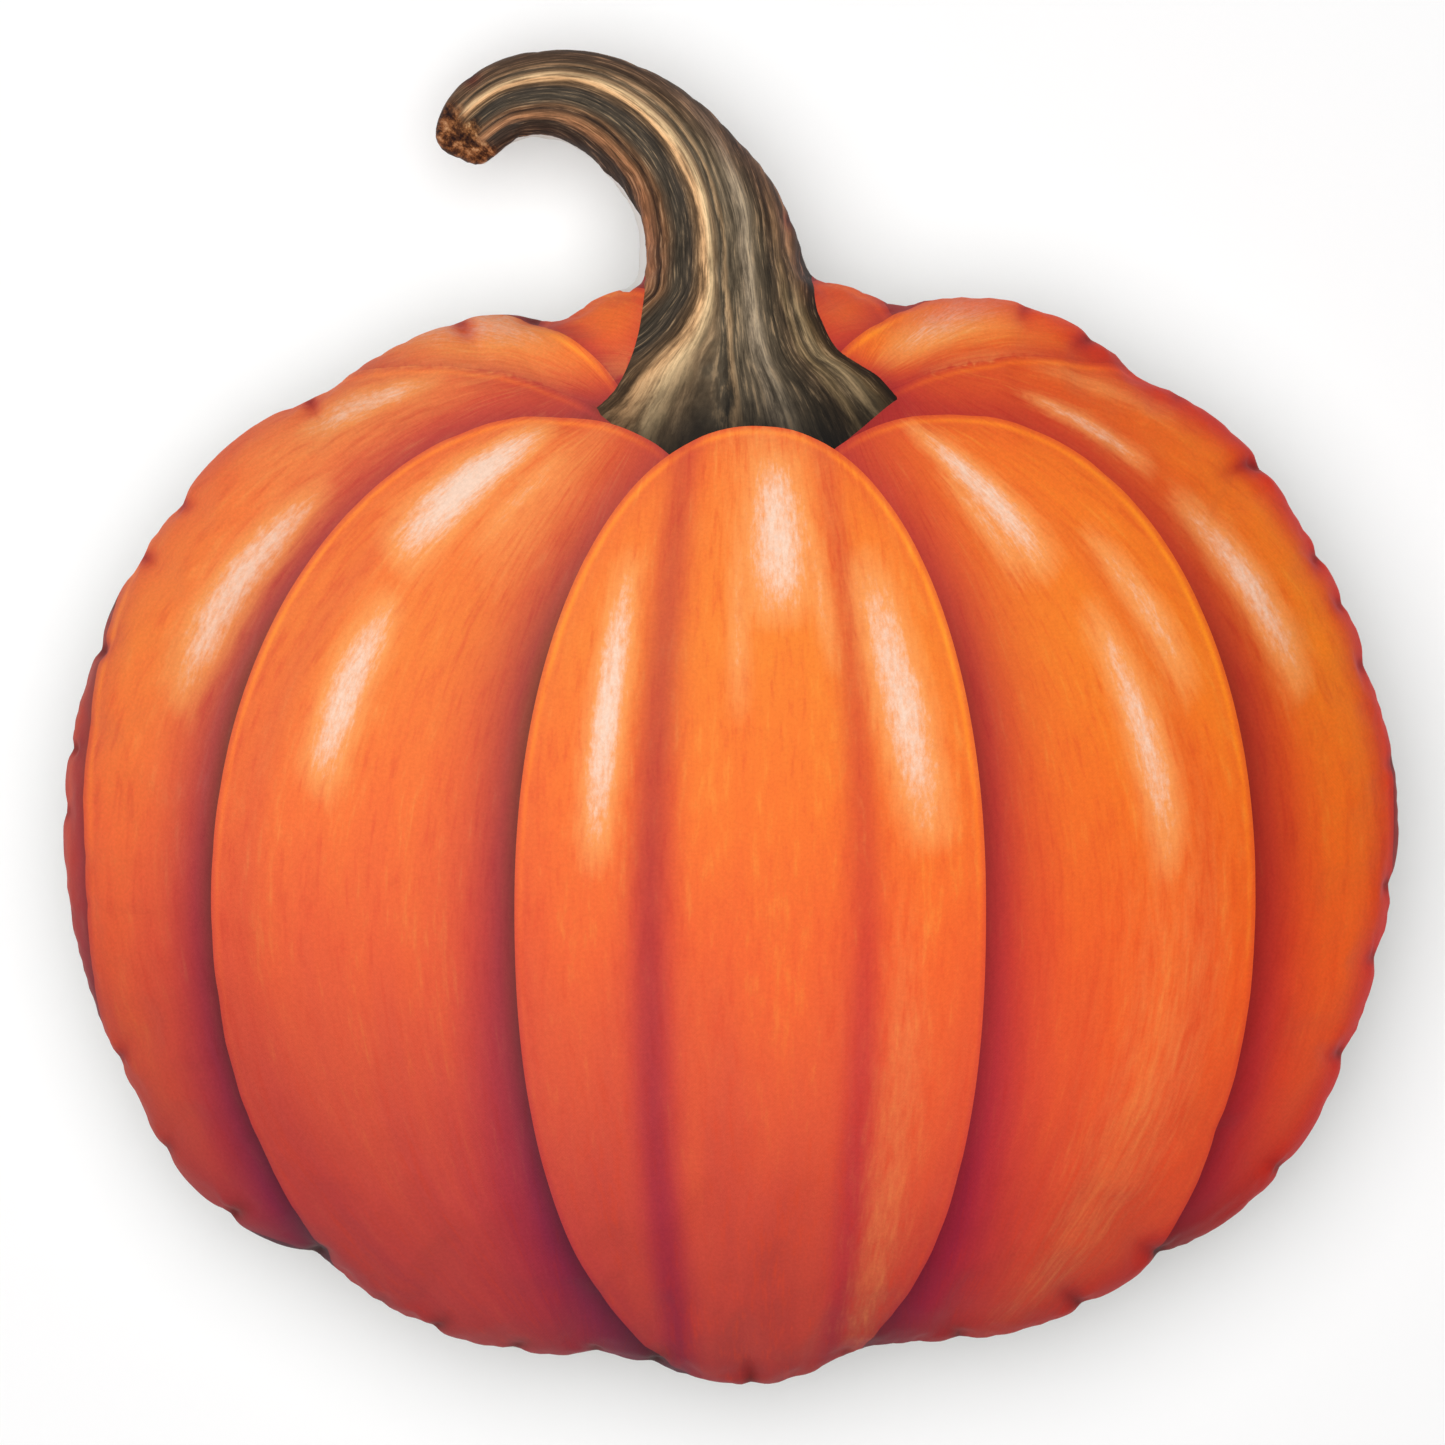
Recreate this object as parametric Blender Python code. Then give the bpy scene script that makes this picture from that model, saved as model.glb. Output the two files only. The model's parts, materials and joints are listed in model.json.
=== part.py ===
"""Pumpkin-shaped cushion: two cloth panels cut to one outline, seamed all round and filled.

Metres, +Z up. The cushion lies on its back, its face looks up, and +Y runs from its foot to its
stem. The origin is under the middle of its outline, on the surface that it lies on.

The seam is one closed line in plan. A grid of points fills it, and the face and the back are that
grid raised and lowered as a filled skin stands up from a seam.
"""

from typing import NamedTuple

import bpy
import numpy as np
from mathutils import Vector
from mathutils.geometry import delaunay_2d_cdt

MM = 0.001


class Arc(NamedTuple):
    """One stretch of the seam: where it starts in plan, in mm, and how far it bulges out past a
    straight line to the next stretch's start."""

    name: str
    x: float
    y: float
    bulge: float


class Gather(NamedTuple):
    """A place where the seam pinches the cloth: its bearing from BODY_CENTRE, in degrees from +X
    towards +Y, how far it runs in from the seam, in mm, and how deep it is, in mm."""

    bearing: float
    reach: float
    depth: float


# The seam in plan, clockwise from the right foot of the stem.
SEAM_ARCS = (
    Arc("back_rib_right", 28.0, 149.0, 2.5),
    Arc("upper_rib_right", 56.0, 140.0, 13.5),
    Arc("shoulder_right", 140.0, 116.0, 7.0),
    Arc("flank_right", 192.5, 69.5, 3.5),
    Arc("side_right", 220.0, 9.0, 2.0),
    Arc("hip_right", 228.0, -39.0, 4.5),
    Arc("lower_right", 205.0, -128.0, 8.0),
    Arc("inner_rib_right", 146.5, -184.0, 4.5),
    Arc("inner_rib_foot", 87.0, -212.0, 0.0),
    Arc("front_rib_right", 47.0, -214.5, 2.0),
    Arc("front_rib_left", 8.0, -229.0, 1.0),
    Arc("inner_rib_left", -41.0, -217.0, 11.5),
    Arc("lower_left", -139.0, -184.5, 11.0),
    Arc("hip_left", -202.0, -130.0, 6.0),
    Arc("side_left", -227.5, -39.0, 2.5),
    Arc("flank_left", -219.0, 14.0, 3.5),
    Arc("shoulder_left", -191.0, 69.0, 6.5),
    Arc("upper_rib_left", -137.0, 112.0, 1.7),
    Arc("upper_rib_left_top", -100.5, 133.0, 3.8),
    Arc("back_rib_left", -58.0, 134.5, 2.5),
    Arc("stem_foot", -32.5, 147.0, -1.0),
    Arc("stem_waist", -32.0, 168.0, -1.5),
    Arc("stem_hollow", -43.0, 185.5, -2.5),
    Arc("hook_under", -63.5, 198.6, -1.8),
    Arc("hook_lip", -77.8, 194.4, 0.5),
    Arc("tip_under", -86.5, 187.5, 0.0),
    Arc("tip_end", -100.5, 194.0, 2.0),
    Arc("tip_top", -99.5, 208.5, 1.5),
    Arc("hook_left", -87.5, 221.5, 2.0),
    Arc("hook_right", -62.0, 229.0, 2.0),
    Arc("stem_shoulder", -31.0, 223.0, 2.5),
    Arc("stem_back", 2.0, 198.0, 2.0),
    Arc("stem_heel", 20.5, 170.5, 0.5),
)
ARC_STEP = 0.5 * MM
SEAM_ROUNDING = 4.0 * MM
SEAM_STEP = 4.4 * MM

# Rows of points along the seam: how far in each lies, and its spacing as a share of SEAM_STEP. A
# row's point stays where the seam is nowhere nearer than ROW_CLEARANCE of that distance.
SEAM_ROWS = ((2.5 * MM, 1.0), (6.5 * MM, 1.0), (12.0 * MM, 1.5))
GRID_STEP = 14.0 * MM
GRID_MARGIN = 18.0 * MM
ROW_CLEARANCE = 0.92

# How the seam lies, and how the filled skin stands up from it. The edge roll is the steep part
# next to the seam, and the broad crown is the slow swell towards the middle.
SEAM_HEIGHT = 45.0 * MM
SEAM_WAVE = 1.2 * MM
SEAM_WAVES = 5
STEM_ROOT = np.array((0.0, 140.0)) * MM
STEM_REACH = 118.0 * MM
STEM_BLEND = 20.0 * MM
STEM_DROOP = 14.0 * MM
EDGE_ROLL = 42.0 * MM
EDGE_ROLL_REACH = 32.0 * MM
EDGE_ROLL_POWER = 0.52
BROAD_CROWN = 50.0 * MM
BROAD_CROWN_REACH = 110.0 * MM
FLOOR_ROUNDING = 9.0 * MM

# The gathers round the body. Each is GATHER_HALF_WIDTH wide either side and pulls the seam in by
# GATHER_PULL of its depth.
BODY_CENTRE = np.array((0.0, -39.0)) * MM
BODY_RADIUS = 200.0 * MM
GATHERS = (
    Gather(15.0, 13.0, 2.2),
    Gather(20.0, 13.0, 2.4),
    Gather(25.0, 14.0, 2.4),
    Gather(34.0, 18.0, 3.2),
    Gather(53.0, 14.0, 2.0),
    Gather(60.0, 13.0, 2.0),
    Gather(112.0, 13.0, 1.8),
    Gather(119.0, 13.0, 1.8),
    Gather(135.0, 15.0, 2.6),
    Gather(149.0, 13.0, 2.2),
    Gather(156.0, 16.0, 2.8),
    Gather(164.0, 15.0, 2.8),
    Gather(172.0, 13.0, 2.4),
    Gather(178.0, 14.0, 2.4),
    Gather(200.0, 14.0, 2.0),
    Gather(209.0, 14.0, 2.2),
    Gather(217.0, 18.0, 3.2),
    Gather(225.0, 20.0, 3.4),
    Gather(238.0, 17.0, 3.0),
    Gather(247.0, 15.0, 2.6),
    Gather(255.0, 14.0, 2.4),
    Gather(262.0, 16.0, 3.0),
    Gather(272.0, 18.0, 3.2),
    Gather(282.0, 14.0, 2.2),
    Gather(295.0, 13.0, 2.0),
    Gather(307.0, 18.0, 3.2),
    Gather(316.0, 20.0, 3.4),
    Gather(329.0, 14.0, 2.2),
    Gather(340.0, 17.0, 3.0),
    Gather(349.0, 15.0, 2.6),
    Gather(356.0, 13.0, 2.4),
)
GATHER_HALF_WIDTH = 5.0 * MM
GATHER_PULL = 0.35
GATHER_CLEAR_OF_STEM = 40.0 * MM

CLOTH_COLOUR = (0.87, 0.22, 0.05, 1.0)
CLOTH_ROUGHNESS = 0.8


def clear_scene():
    """Removes every object of the open scene."""
    for thing in list(bpy.data.objects):
        bpy.data.objects.remove(thing)


def seam_arc(start, end, bulge):
    """Points from start to just before end. The line between them is pushed out by
    4 * bulge * t * (1 - t), where t runs from 0 to 1, which is close to a round arc."""
    chord = end - start
    length = np.hypot(*chord)
    outward = np.array((-chord[1], chord[0])) / length
    t = np.arange(0.0, 1.0, ARC_STEP / length)[:, None]
    return start + chord * t + outward * (4.0 * bulge * t * (1.0 - t))


def respaced(loop, step):
    """A closed loop's points again, evenly spaced along it and about step apart."""
    closed = np.vstack((loop, loop[:1]))
    run = np.concatenate(([0.0], np.cumsum(np.hypot(*np.diff(closed, axis=0).T))))
    count = int(round(run[-1] / step))
    at = np.linspace(0.0, run[-1], count, endpoint=False)
    return np.stack([np.interp(at, run, closed[:, k]) for k in range(2)], axis=1)


def rounded(loop, reach):
    """A closed loop whose every point is the mean of those within reach of it along the loop."""
    half = int(round(reach / ARC_STEP))
    return np.mean([np.roll(loop, shift, axis=0) for shift in range(-half, half + 1)], axis=0)


def outward_normals(loop):
    """Unit vectors that point out of a closed clockwise loop."""
    along = np.roll(loop, -1, axis=0) - np.roll(loop, 1, axis=0)
    along /= np.hypot(*along.T)[:, None]
    return np.stack((-along[:, 1], along[:, 0]), axis=1)


def bearings(points):
    """Direction of each point from BODY_CENTRE, in degrees from 0 to 360."""
    away = points - BODY_CENTRE
    return np.degrees(np.arctan2(away[:, 1], away[:, 0])) % 360.0


def gather_pinch(seam):
    """How hard each seam point is pinched: for every gather, the sum of depth * exp(-(s / w)^2),
    where s is the distance along the seam to the gather. Returns the depth and the reach there."""
    bearing = bearings(seam)
    is_body = np.hypot(*(seam - STEM_ROOT).T) > GATHER_CLEAR_OF_STEM
    depth = np.zeros(len(seam))
    reach = np.full(len(seam), GATHER_HALF_WIDTH)
    for gather in GATHERS:
        turn = np.abs((bearing - gather.bearing + 180.0) % 360.0 - 180.0)
        steps = np.arange(len(seam)) - np.where(is_body, turn, 180.0).argmin()
        steps = (steps + len(seam) // 2) % len(seam) - len(seam) // 2
        share = np.exp(-((steps * SEAM_STEP / GATHER_HALF_WIDTH) ** 2))
        depth += gather.depth * MM * share
        reach = np.maximum(reach, gather.reach * MM * np.sqrt(share))
    return depth, reach


def seam_outline():
    """The seam in plan: the table's arcs end to end, softened where they meet, evenly spaced and
    set with the middle of their box at the origin."""
    starts = np.array([(arc.x, arc.y) for arc in SEAM_ARCS]) * MM
    ends = np.roll(starts, -1, axis=0)
    arcs = [
        seam_arc(start, end, arc.bulge * MM)
        for arc, start, end in zip(SEAM_ARCS, starts, ends, strict=True)
    ]
    loop = respaced(rounded(respaced(np.vstack(arcs), ARC_STEP), SEAM_ROUNDING), SEAM_STEP)
    depth, _ = gather_pinch(loop)
    loop = loop - outward_normals(loop) * (depth * GATHER_PULL)[:, None]
    return loop - (loop.min(axis=0) + loop.max(axis=0)) / 2.0


def distance_to_seam(points, seam):
    """Shortest distance from each point to the seam's straight steps, and the nearest step."""
    start = seam[None]
    step = np.roll(seam, -1, axis=0)[None] - start
    away = points[:, None] - start
    t = np.clip((away * step).sum(axis=2) / (step**2).sum(axis=2), 0.0, 1.0)
    distance = np.linalg.norm(away - step * t[..., None], axis=2)
    return distance.min(axis=1), distance.argmin(axis=1)


def inside_seam(points, seam):
    """Whether each point lies inside: a line from it towards +X crosses the seam an odd number of
    times."""
    (ax, ay), (bx, by) = seam.T, np.roll(seam, -1, axis=0).T
    px, py = points[:, :1], points[:, 1:]
    spans = (ay > py) != (by > py)
    crossing = ax + (py - ay) * (bx - ax) / np.where(by == ay, 1.0, by - ay)
    return (spans & (px < crossing)).sum(axis=1) % 2 == 1


def inner_points(seam):
    """Points of the panel inside the seam: rows that follow it, then a grid of even triangles."""
    found = []
    for inset, spacing in SEAM_ROWS:
        row = respaced(seam, SEAM_STEP * spacing)
        row = row - outward_normals(row) * inset
        found.append(row[distance_to_seam(row, seam)[0] > ROW_CLEARANCE * inset])
    low, high = seam.min(axis=0), seam.max(axis=0)
    across = np.arange(low[0], high[0], GRID_STEP)
    up = np.arange(low[1], high[1], GRID_STEP * np.sqrt(3.0) / 2.0)
    grid = np.stack(np.meshgrid(across, up), axis=2)
    grid[1::2, :, 0] += GRID_STEP / 2.0
    grid = grid.reshape(-1, 2)
    grid = grid[inside_seam(grid, seam)]
    found.append(grid[distance_to_seam(grid, seam)[0] > GRID_MARGIN])
    return np.vstack(found)


def panel_mesh(seam):
    """The flat panel: its points, seam points first and in order, and its triangles."""
    points = np.vstack((seam, inner_points(seam)))
    count = len(seam)
    edges = [(k, (k + 1) % count) for k in range(count)]
    made = delaunay_2d_cdt([Vector(p) for p in points], edges, [], 1, 1e-7)
    triangles = np.array([[made[3][corner][0] for corner in face] for face in made[2]])
    a, b, c = (points[triangles[:, k]] for k in range(3))
    turn = (b - a)[:, 0] * (c - a)[:, 1] - (b - a)[:, 1] * (c - a)[:, 0]
    triangles[turn < 0.0] = triangles[turn < 0.0][:, ::-1]
    return points, triangles


def skin_rise(points, triangles, held, reach):
    """How far a skin that is held at the seam stands up, from 0 there to 1 far inside: the
    solution u of u - reach^2 * (second derivatives of u) = 1, by linear finite elements."""
    count = len(points)
    stiffness = np.zeros((count, count))
    area_at = np.zeros(count)
    for k in range(3):
        i, j, o = triangles[:, k], triangles[:, (k + 1) % 3], triangles[:, (k + 2) % 3]
        u, v = points[i] - points[o], points[j] - points[o]
        twice_area = u[:, 0] * v[:, 1] - u[:, 1] * v[:, 0]
        weight = (u * v).sum(axis=1) / twice_area / 2.0
        for row, column, sign in ((i, j, -1.0), (j, i, -1.0), (i, i, 1.0), (j, j, 1.0)):
            np.add.at(stiffness, (row, column), sign * weight)
        np.add.at(area_at, o, twice_area / 6.0)
    free = np.arange(held, count)
    system = stiffness * reach**2 + np.diag(area_at)
    rise = np.zeros(count)
    rise[free] = np.linalg.solve(system[np.ix_(free, free)], area_at[free])
    return rise


def seam_level(points):
    """Height of the seam's surface over the floor: a slow wave round the body that fades towards
    its middle, and a stem that droops with the square of its distance from its root."""
    from_root = np.hypot(*(points - STEM_ROOT).T) / STEM_REACH
    on_stem = np.clip((points[:, 1] - STEM_ROOT[1]) / STEM_BLEND, 0.0, 1.0)
    from_middle = np.clip(np.hypot(*(points - BODY_CENTRE).T) / BODY_RADIUS, 0.0, 1.0)
    wave = SEAM_WAVE * from_middle**3 * np.sin(np.radians(bearings(points)) * SEAM_WAVES)
    return SEAM_HEIGHT + wave * (1.0 - on_stem) - STEM_DROOP * on_stem * from_root**2


def set_down(heights):
    """Heights with everything below the floor laid on it. Within FLOOR_ROUNDING of the floor the
    cloth leaves it along (h + e)^2 / (4 e), which meets both the floor and the cloth smoothly."""
    rolled = (heights + FLOOR_ROUNDING) ** 2 / (4.0 * FLOOR_ROUNDING)
    near = np.abs(heights) < FLOOR_ROUNDING
    return np.where(near, rolled, np.maximum(heights, 0.0))


def skin_heights(points, triangles, seam):
    """Heights of the face and of the back at every point of the panel. Both stand off the seam by
    the edge roll and the broad crown, less the gathers, and the back is flat where it lies. A
    gather is a trough whose depth follows 2 s exp(1 - 2 s), where s runs from 0 at the seam to 1
    at its reach, so it is deepest halfway."""
    held = len(seam)
    roll = skin_rise(points, triangles, held, EDGE_ROLL_REACH) ** EDGE_ROLL_POWER
    crown = skin_rise(points, triangles, held, BROAD_CROWN_REACH)
    stand_off = EDGE_ROLL * roll + BROAD_CROWN * crown
    distance, nearest = distance_to_seam(points, seam)
    depth, reach = gather_pinch(seam)
    inward = 2.0 * distance / reach[nearest]
    stand_off = stand_off - depth[nearest] * inward * np.exp(1.0 - inward)
    level = seam_level(points)
    return level + stand_off, set_down(level - stand_off)


def cloth_material():
    """Plain cloth in the colour that most of the face is printed."""
    made = bpy.data.materials.new("cushion_cloth")
    made.use_nodes = True
    shader = made.node_tree.nodes["Principled BSDF"]
    shader.inputs["Base Color"].default_value = CLOTH_COLOUR
    shader.inputs["Roughness"].default_value = CLOTH_ROUGHNESS
    shader.inputs["Metallic"].default_value = 0.0
    return made


def build_cushion():
    """The filled cushion as one closed solid: face, back and the seam that they share."""
    seam = seam_outline()
    plan, face_triangles = panel_mesh(seam)
    held = len(seam)
    face_heights, back_heights = skin_heights(plan, face_triangles, seam)
    face = np.column_stack((plan, face_heights))
    back = np.column_stack((plan, back_heights))[held:]

    # The back repeats the face's triangles the other way round, with its own points inside.
    own_points = np.where(face_triangles < held, 0, len(plan) - held)
    back_triangles = (face_triangles + own_points)[:, ::-1]

    mesh = bpy.data.meshes.new("pumpkin_cushion")
    corners = np.vstack((face, back)).tolist()
    mesh.from_pydata(corners, [], np.vstack((face_triangles, back_triangles)).tolist())
    mesh.materials.append(cloth_material())
    mesh.shade_smooth()
    cushion = bpy.data.objects.new("pumpkin_cushion", mesh)
    bpy.context.scene.collection.objects.link(cushion)
    return cushion


clear_scene()
build_cushion()
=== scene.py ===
"""Looks of the pumpkin cushion: a filled cover of printed cloth, and a plain studio round it.

Metres, +Z up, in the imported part's own frame. The cover's shape starts from the part's solid: its
seam line is the line where the solid's upper and lower sides meet, and each panel is a finer mesh
inside that line. Blender's cloth then fills it, and gathers are pressed in along the seam.

The print is worked out in the plane of the panel, in millimetres, from the ribs, strokes and ridges
in the tables below. It is a shader, so it has no resolution of its own.
"""

from __future__ import annotations

import json
import logging
import math
from dataclasses import dataclass

import bpy
import numpy as np
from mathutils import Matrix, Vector
from mathutils.geometry import delaunay_2d_cdt

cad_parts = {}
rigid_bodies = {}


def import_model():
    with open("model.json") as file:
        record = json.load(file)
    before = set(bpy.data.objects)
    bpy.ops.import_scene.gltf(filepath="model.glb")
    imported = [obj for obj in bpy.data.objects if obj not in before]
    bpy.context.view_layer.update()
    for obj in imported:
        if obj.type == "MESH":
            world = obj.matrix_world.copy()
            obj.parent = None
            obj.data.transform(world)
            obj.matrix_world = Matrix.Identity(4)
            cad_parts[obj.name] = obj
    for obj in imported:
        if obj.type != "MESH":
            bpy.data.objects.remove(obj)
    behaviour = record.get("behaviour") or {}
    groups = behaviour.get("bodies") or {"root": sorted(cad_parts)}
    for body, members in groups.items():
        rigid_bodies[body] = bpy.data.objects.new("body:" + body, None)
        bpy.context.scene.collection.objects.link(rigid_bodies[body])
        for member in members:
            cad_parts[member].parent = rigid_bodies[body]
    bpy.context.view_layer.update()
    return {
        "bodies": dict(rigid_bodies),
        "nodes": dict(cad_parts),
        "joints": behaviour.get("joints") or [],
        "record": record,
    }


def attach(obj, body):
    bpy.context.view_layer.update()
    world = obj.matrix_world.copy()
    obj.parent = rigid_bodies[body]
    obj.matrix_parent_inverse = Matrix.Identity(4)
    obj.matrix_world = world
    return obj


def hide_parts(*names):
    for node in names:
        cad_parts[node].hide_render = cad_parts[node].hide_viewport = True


LOG = logging.getLogger("pumpkin_cushion")

Array = np.ndarray
Socket = bpy.types.NodeSocket
Value = float | Socket
Point = tuple[float, float, float]

MM = 0.001
NODE = "pumpkin_cushion"
BODY = "root"

# The print is set out as it looks from an eye PRINT_EYE metres above the height PRINT_LEVEL.
PRINT_LEVEL = 45.0 * MM
PRINT_EYE = 3.14


def unit(vectors: Array) -> Array:
    """Each row of the array at length 1.

    Args:
        vectors: rows of any dimension.

    Returns:
        The rows divided by their lengths.
    """
    return vectors / np.maximum(np.linalg.norm(vectors, axis=1), 1e-12)[:, None]


def respaced(loop: Array, step: float) -> Array:
    """A closed loop's points again, evenly spaced.

    The new points lie at equal lengths along the old straight steps.

    Args:
        loop: points in order, in two or three dimensions. The last one joins the first.
        step: the wanted spacing in metres, met to the nearest whole number of points.

    Returns:
        The new points in the same order.
    """
    closed = np.vstack((loop, loop[:1]))
    run = np.concatenate(([0.0], np.cumsum(np.linalg.norm(np.diff(closed, axis=0), axis=1))))
    at = np.linspace(0.0, run[-1], int(round(run[-1] / step)), endpoint=False)
    return np.stack([np.interp(at, run, column) for column in closed.T], axis=1)


def inward_normals(loop: Array) -> Array:
    """Unit vectors that point into a closed loop that runs anticlockwise.

    Args:
        loop: plan points in order.

    Returns:
        One vector a point: the direction from the point before to the point after, turned left.
    """
    along = unit(np.roll(loop, -1, axis=0) - np.roll(loop, 1, axis=0))
    return np.stack((-along[:, 1], along[:, 0]), axis=1)


def nearest_on_line(points: Array, line: Array, closed: bool, batch: int = 2000) -> tuple[Array, Array]:
    """Distance from points to a line of straight steps, and where along it the nearest place is.

    For each step the point is dropped onto it, and the drop is held between the step's ends.

    Args:
        points: plan points.
        line: the line's points in order.
        closed: whether the last point joins the first.
        batch: how many points are worked out at once, to bound the memory.

    Returns:
        The distances, and the place as the number of the step plus the share of it.
    """
    start = line if closed else line[:-1]
    step = (np.roll(line, -1, axis=0) if closed else line[1:]) - start[: len(line)]
    length_2 = (step**2).sum(axis=1)
    distances, places = [], []
    for first in range(0, len(points), batch):
        away = points[first : first + batch, None] - start[None]
        share = np.clip((away * step).sum(axis=2) / length_2, 0.0, 1.0)
        gap = np.linalg.norm(away - share[..., None] * step, axis=2)
        best = gap.argmin(axis=1)
        rows = np.arange(len(best))
        distances.append(gap[rows, best])
        places.append(best + share[rows, best])
    return np.concatenate(distances), np.concatenate(places)


def inside_loop(points: Array, loop: Array) -> Array:
    """Whether each point lies inside a closed loop.

    A line from the point towards +X crosses the loop an odd number of times.

    Args:
        points: plan points.
        loop: the loop's points in order.

    Returns:
        One truth value a point.
    """
    (ax, ay), (bx, by) = loop.T, np.roll(loop, -1, axis=0).T
    px, py = points[:, :1], points[:, 1:]
    spans = (ay > py) != (by > py)
    crossing = ax + (py - ay) * (bx - ax) / np.where(by == ay, 1.0, by - ay)
    return (spans & (px < crossing)).sum(axis=1) % 2 == 1


def heights_on(plan: Array, corners: Array, triangles: Array, batch: int = 1500) -> Array:
    """Height of a surface of triangles over each plan point.

    A point lies in the triangle whose least barycentric share is greatest, and its height is the
    sum of the corners' heights times their shares.

    Args:
        plan: plan points.
        corners: the surface's points.
        triangles: corner numbers of its triangles, none of them upright.
        batch: how many points are worked out at once, to bound the memory.

    Returns:
        One height a point.
    """
    a, b, c = (corners[triangles[:, k]] for k in range(3))
    u, v = (b - a)[:, :2], (c - a)[:, :2]
    area = u[:, 0] * v[:, 1] - u[:, 1] * v[:, 0]
    found = []
    for first in range(0, len(plan), batch):
        away = plan[first : first + batch, None] - a[None, :, :2]
        to_b = (away[..., 0] * v[:, 1] - away[..., 1] * v[:, 0]) / area
        to_c = (u[:, 0] * away[..., 1] - u[:, 1] * away[..., 0]) / area
        best = np.minimum(np.minimum(to_b, to_c), 1.0 - to_b - to_c).argmax(axis=1)
        rows = np.arange(len(best))
        share_b, share_c = to_b[rows, best], to_c[rows, best]
        height = a[best, 2] * (1.0 - share_b - share_c) + b[best, 2] * share_b + c[best, 2] * share_c
        found.append(height)
    return np.concatenate(found)


def smoothed(values: Array, edges: Array, weight: Array, passes: int) -> Array:
    """Values on a mesh's points, drawn towards the mean of their neighbours.

    Args:
        values: one value or row a point.
        edges: pairs of point numbers.
        weight: how far each point moves towards that mean at each pass, 0 to 1.
        passes: how often it is done.

    Returns:
        The new values.
    """
    count = len(values)
    ends = np.concatenate((edges, edges[:, ::-1]))
    degree = np.maximum(np.bincount(ends[:, 0], minlength=count), 1)
    flat = values.reshape(count, -1)
    for _ in range(passes):
        mean = [np.bincount(ends[:, 0], column[ends[:, 1]], count) / degree for column in flat.T]
        flat = flat + (np.stack(mean, axis=1) - flat) * weight[:, None]
    return flat.reshape(values.shape)


def set_down(heights: Array, rounding: float) -> Array:
    """Heights with everything below the floor laid on it.

    Within the rounding e of the floor the cloth leaves it along (h + e)^2 / (4 e), which meets both
    the floor and the cloth smoothly.

    Args:
        heights: heights over the floor, some of them negative.
        rounding: the height e.

    Returns:
        The new heights, none under 0.
    """
    rolled = (heights + rounding) ** 2 / (4.0 * rounding)
    return np.where(np.abs(heights) < rounding, rolled, np.maximum(heights, 0.0))


def mesh_points(mesh: bpy.types.Mesh) -> Array:
    """The mesh's points as an array of rows."""
    points = np.empty(len(mesh.vertices) * 3, np.float32)
    mesh.vertices.foreach_get("co", points)
    return points.reshape(-1, 3).astype(float)


def panel_places(mesh: bpy.types.Mesh) -> Array:
    """Where the mesh's points lie on the flat panel, from its panel map, in metres."""
    corners = np.empty(len(mesh.loops), np.int32)
    mesh.loops.foreach_get("vertex_index", corners)
    flat = np.empty(len(corners) * 2, np.float32)
    mesh.uv_layers["panel"].data.foreach_get("uv", flat)
    places = np.zeros((len(mesh.vertices), 2))
    places[corners] = flat.reshape(-1, 2)
    return places


def print_places(mesh: bpy.types.Mesh) -> Array:
    """Where the mesh's points lie in the print, in metres.

    The print is set out as it looks from an eye at the distance d above the level h, so a place on
    the panel at the height z is enlarged by 1 + (z - h) / d.

    Args:
        mesh: the cover's mesh.

    Returns:
        The places.
    """
    return panel_places(mesh) * (1.0 + (mesh_points(mesh)[:, 2:] - PRINT_LEVEL) / PRINT_EYE)


def store(mesh: bpy.types.Mesh, name: str, values: Array) -> None:
    """Keeps a number or a vector for each of the mesh's points.

    Args:
        mesh: the mesh.
        name: what the materials call it.
        values: one number or row of three a point.
    """
    kind, key = ("FLOAT", "value") if values.ndim == 1 else ("FLOAT_VECTOR", "vector")
    attribute = mesh.attributes.new(name, kind, "POINT")
    attribute.data.foreach_set(key, values.astype(np.float32).ravel())


def mesh_edges(mesh: bpy.types.Mesh) -> Array:
    """The mesh's edges as pairs of point numbers."""
    edges = np.empty(len(mesh.edges) * 2, np.int32)
    mesh.edges.foreach_get("vertices", edges)
    return edges.reshape(-1, 2)


@dataclass(frozen=True)
class Solid:
    """The part's own solid of the cushion.

    Attributes:
        points: its points, each once.
        face: corner numbers of the triangles that look up.
        back: corner numbers of the triangles that look down.
    """

    points: Array
    face: Array
    back: Array

    @classmethod
    def of_node(cls, node: bpy.types.Object) -> Solid:
        """Reads the solid from a node's mesh.

        Args:
            node: the node's object.

        Returns:
            The solid, with points that coincide merged.
        """
        mesh = node.data
        mesh.calc_loop_triangles()
        corners = np.empty(len(mesh.loop_triangles) * 3, np.int32)
        mesh.loop_triangles.foreach_get("vertices", corners)
        points, index = np.unique(np.round(mesh_points(mesh), 6), axis=0, return_inverse=True)
        triangles = index.reshape(-1)[corners].reshape(-1, 3)
        a, b, c = (points[triangles[:, k]] for k in range(3))
        looks_up = np.cross(b - a, c - a)[:, 2] > 0.0
        return cls(points, triangles[looks_up], triangles[~looks_up])

    def seam(self) -> Array:
        """The line where the face and the back meet.

        It is made of the face's edges that no other triangle of the face runs the other way. They
        are put in order by pointer doubling: at each pass every point learns how many steps lie
        between it and the loop's last point, from the point twice as far ahead.

        Returns:
            The line's points in order, anticlockwise from above.
        """
        edges = np.concatenate([self.face[:, [k, (k + 1) % 3]] for k in range(3)])
        count = len(self.points)
        one_way = ~np.isin(edges @ (count, 1), edges @ (1, count))
        start, end = edges[one_way].T
        ahead = np.arange(count)
        ahead[start] = end
        ahead[start[0]] = start[0]
        steps = (ahead != np.arange(count)).astype(int)
        for _ in range(math.ceil(math.log2(len(start))) + 1):
            steps = steps + steps[ahead]
            ahead = ahead[ahead]
        return self.points[start[np.argsort(-(steps[start] % len(start)))]]


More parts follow.
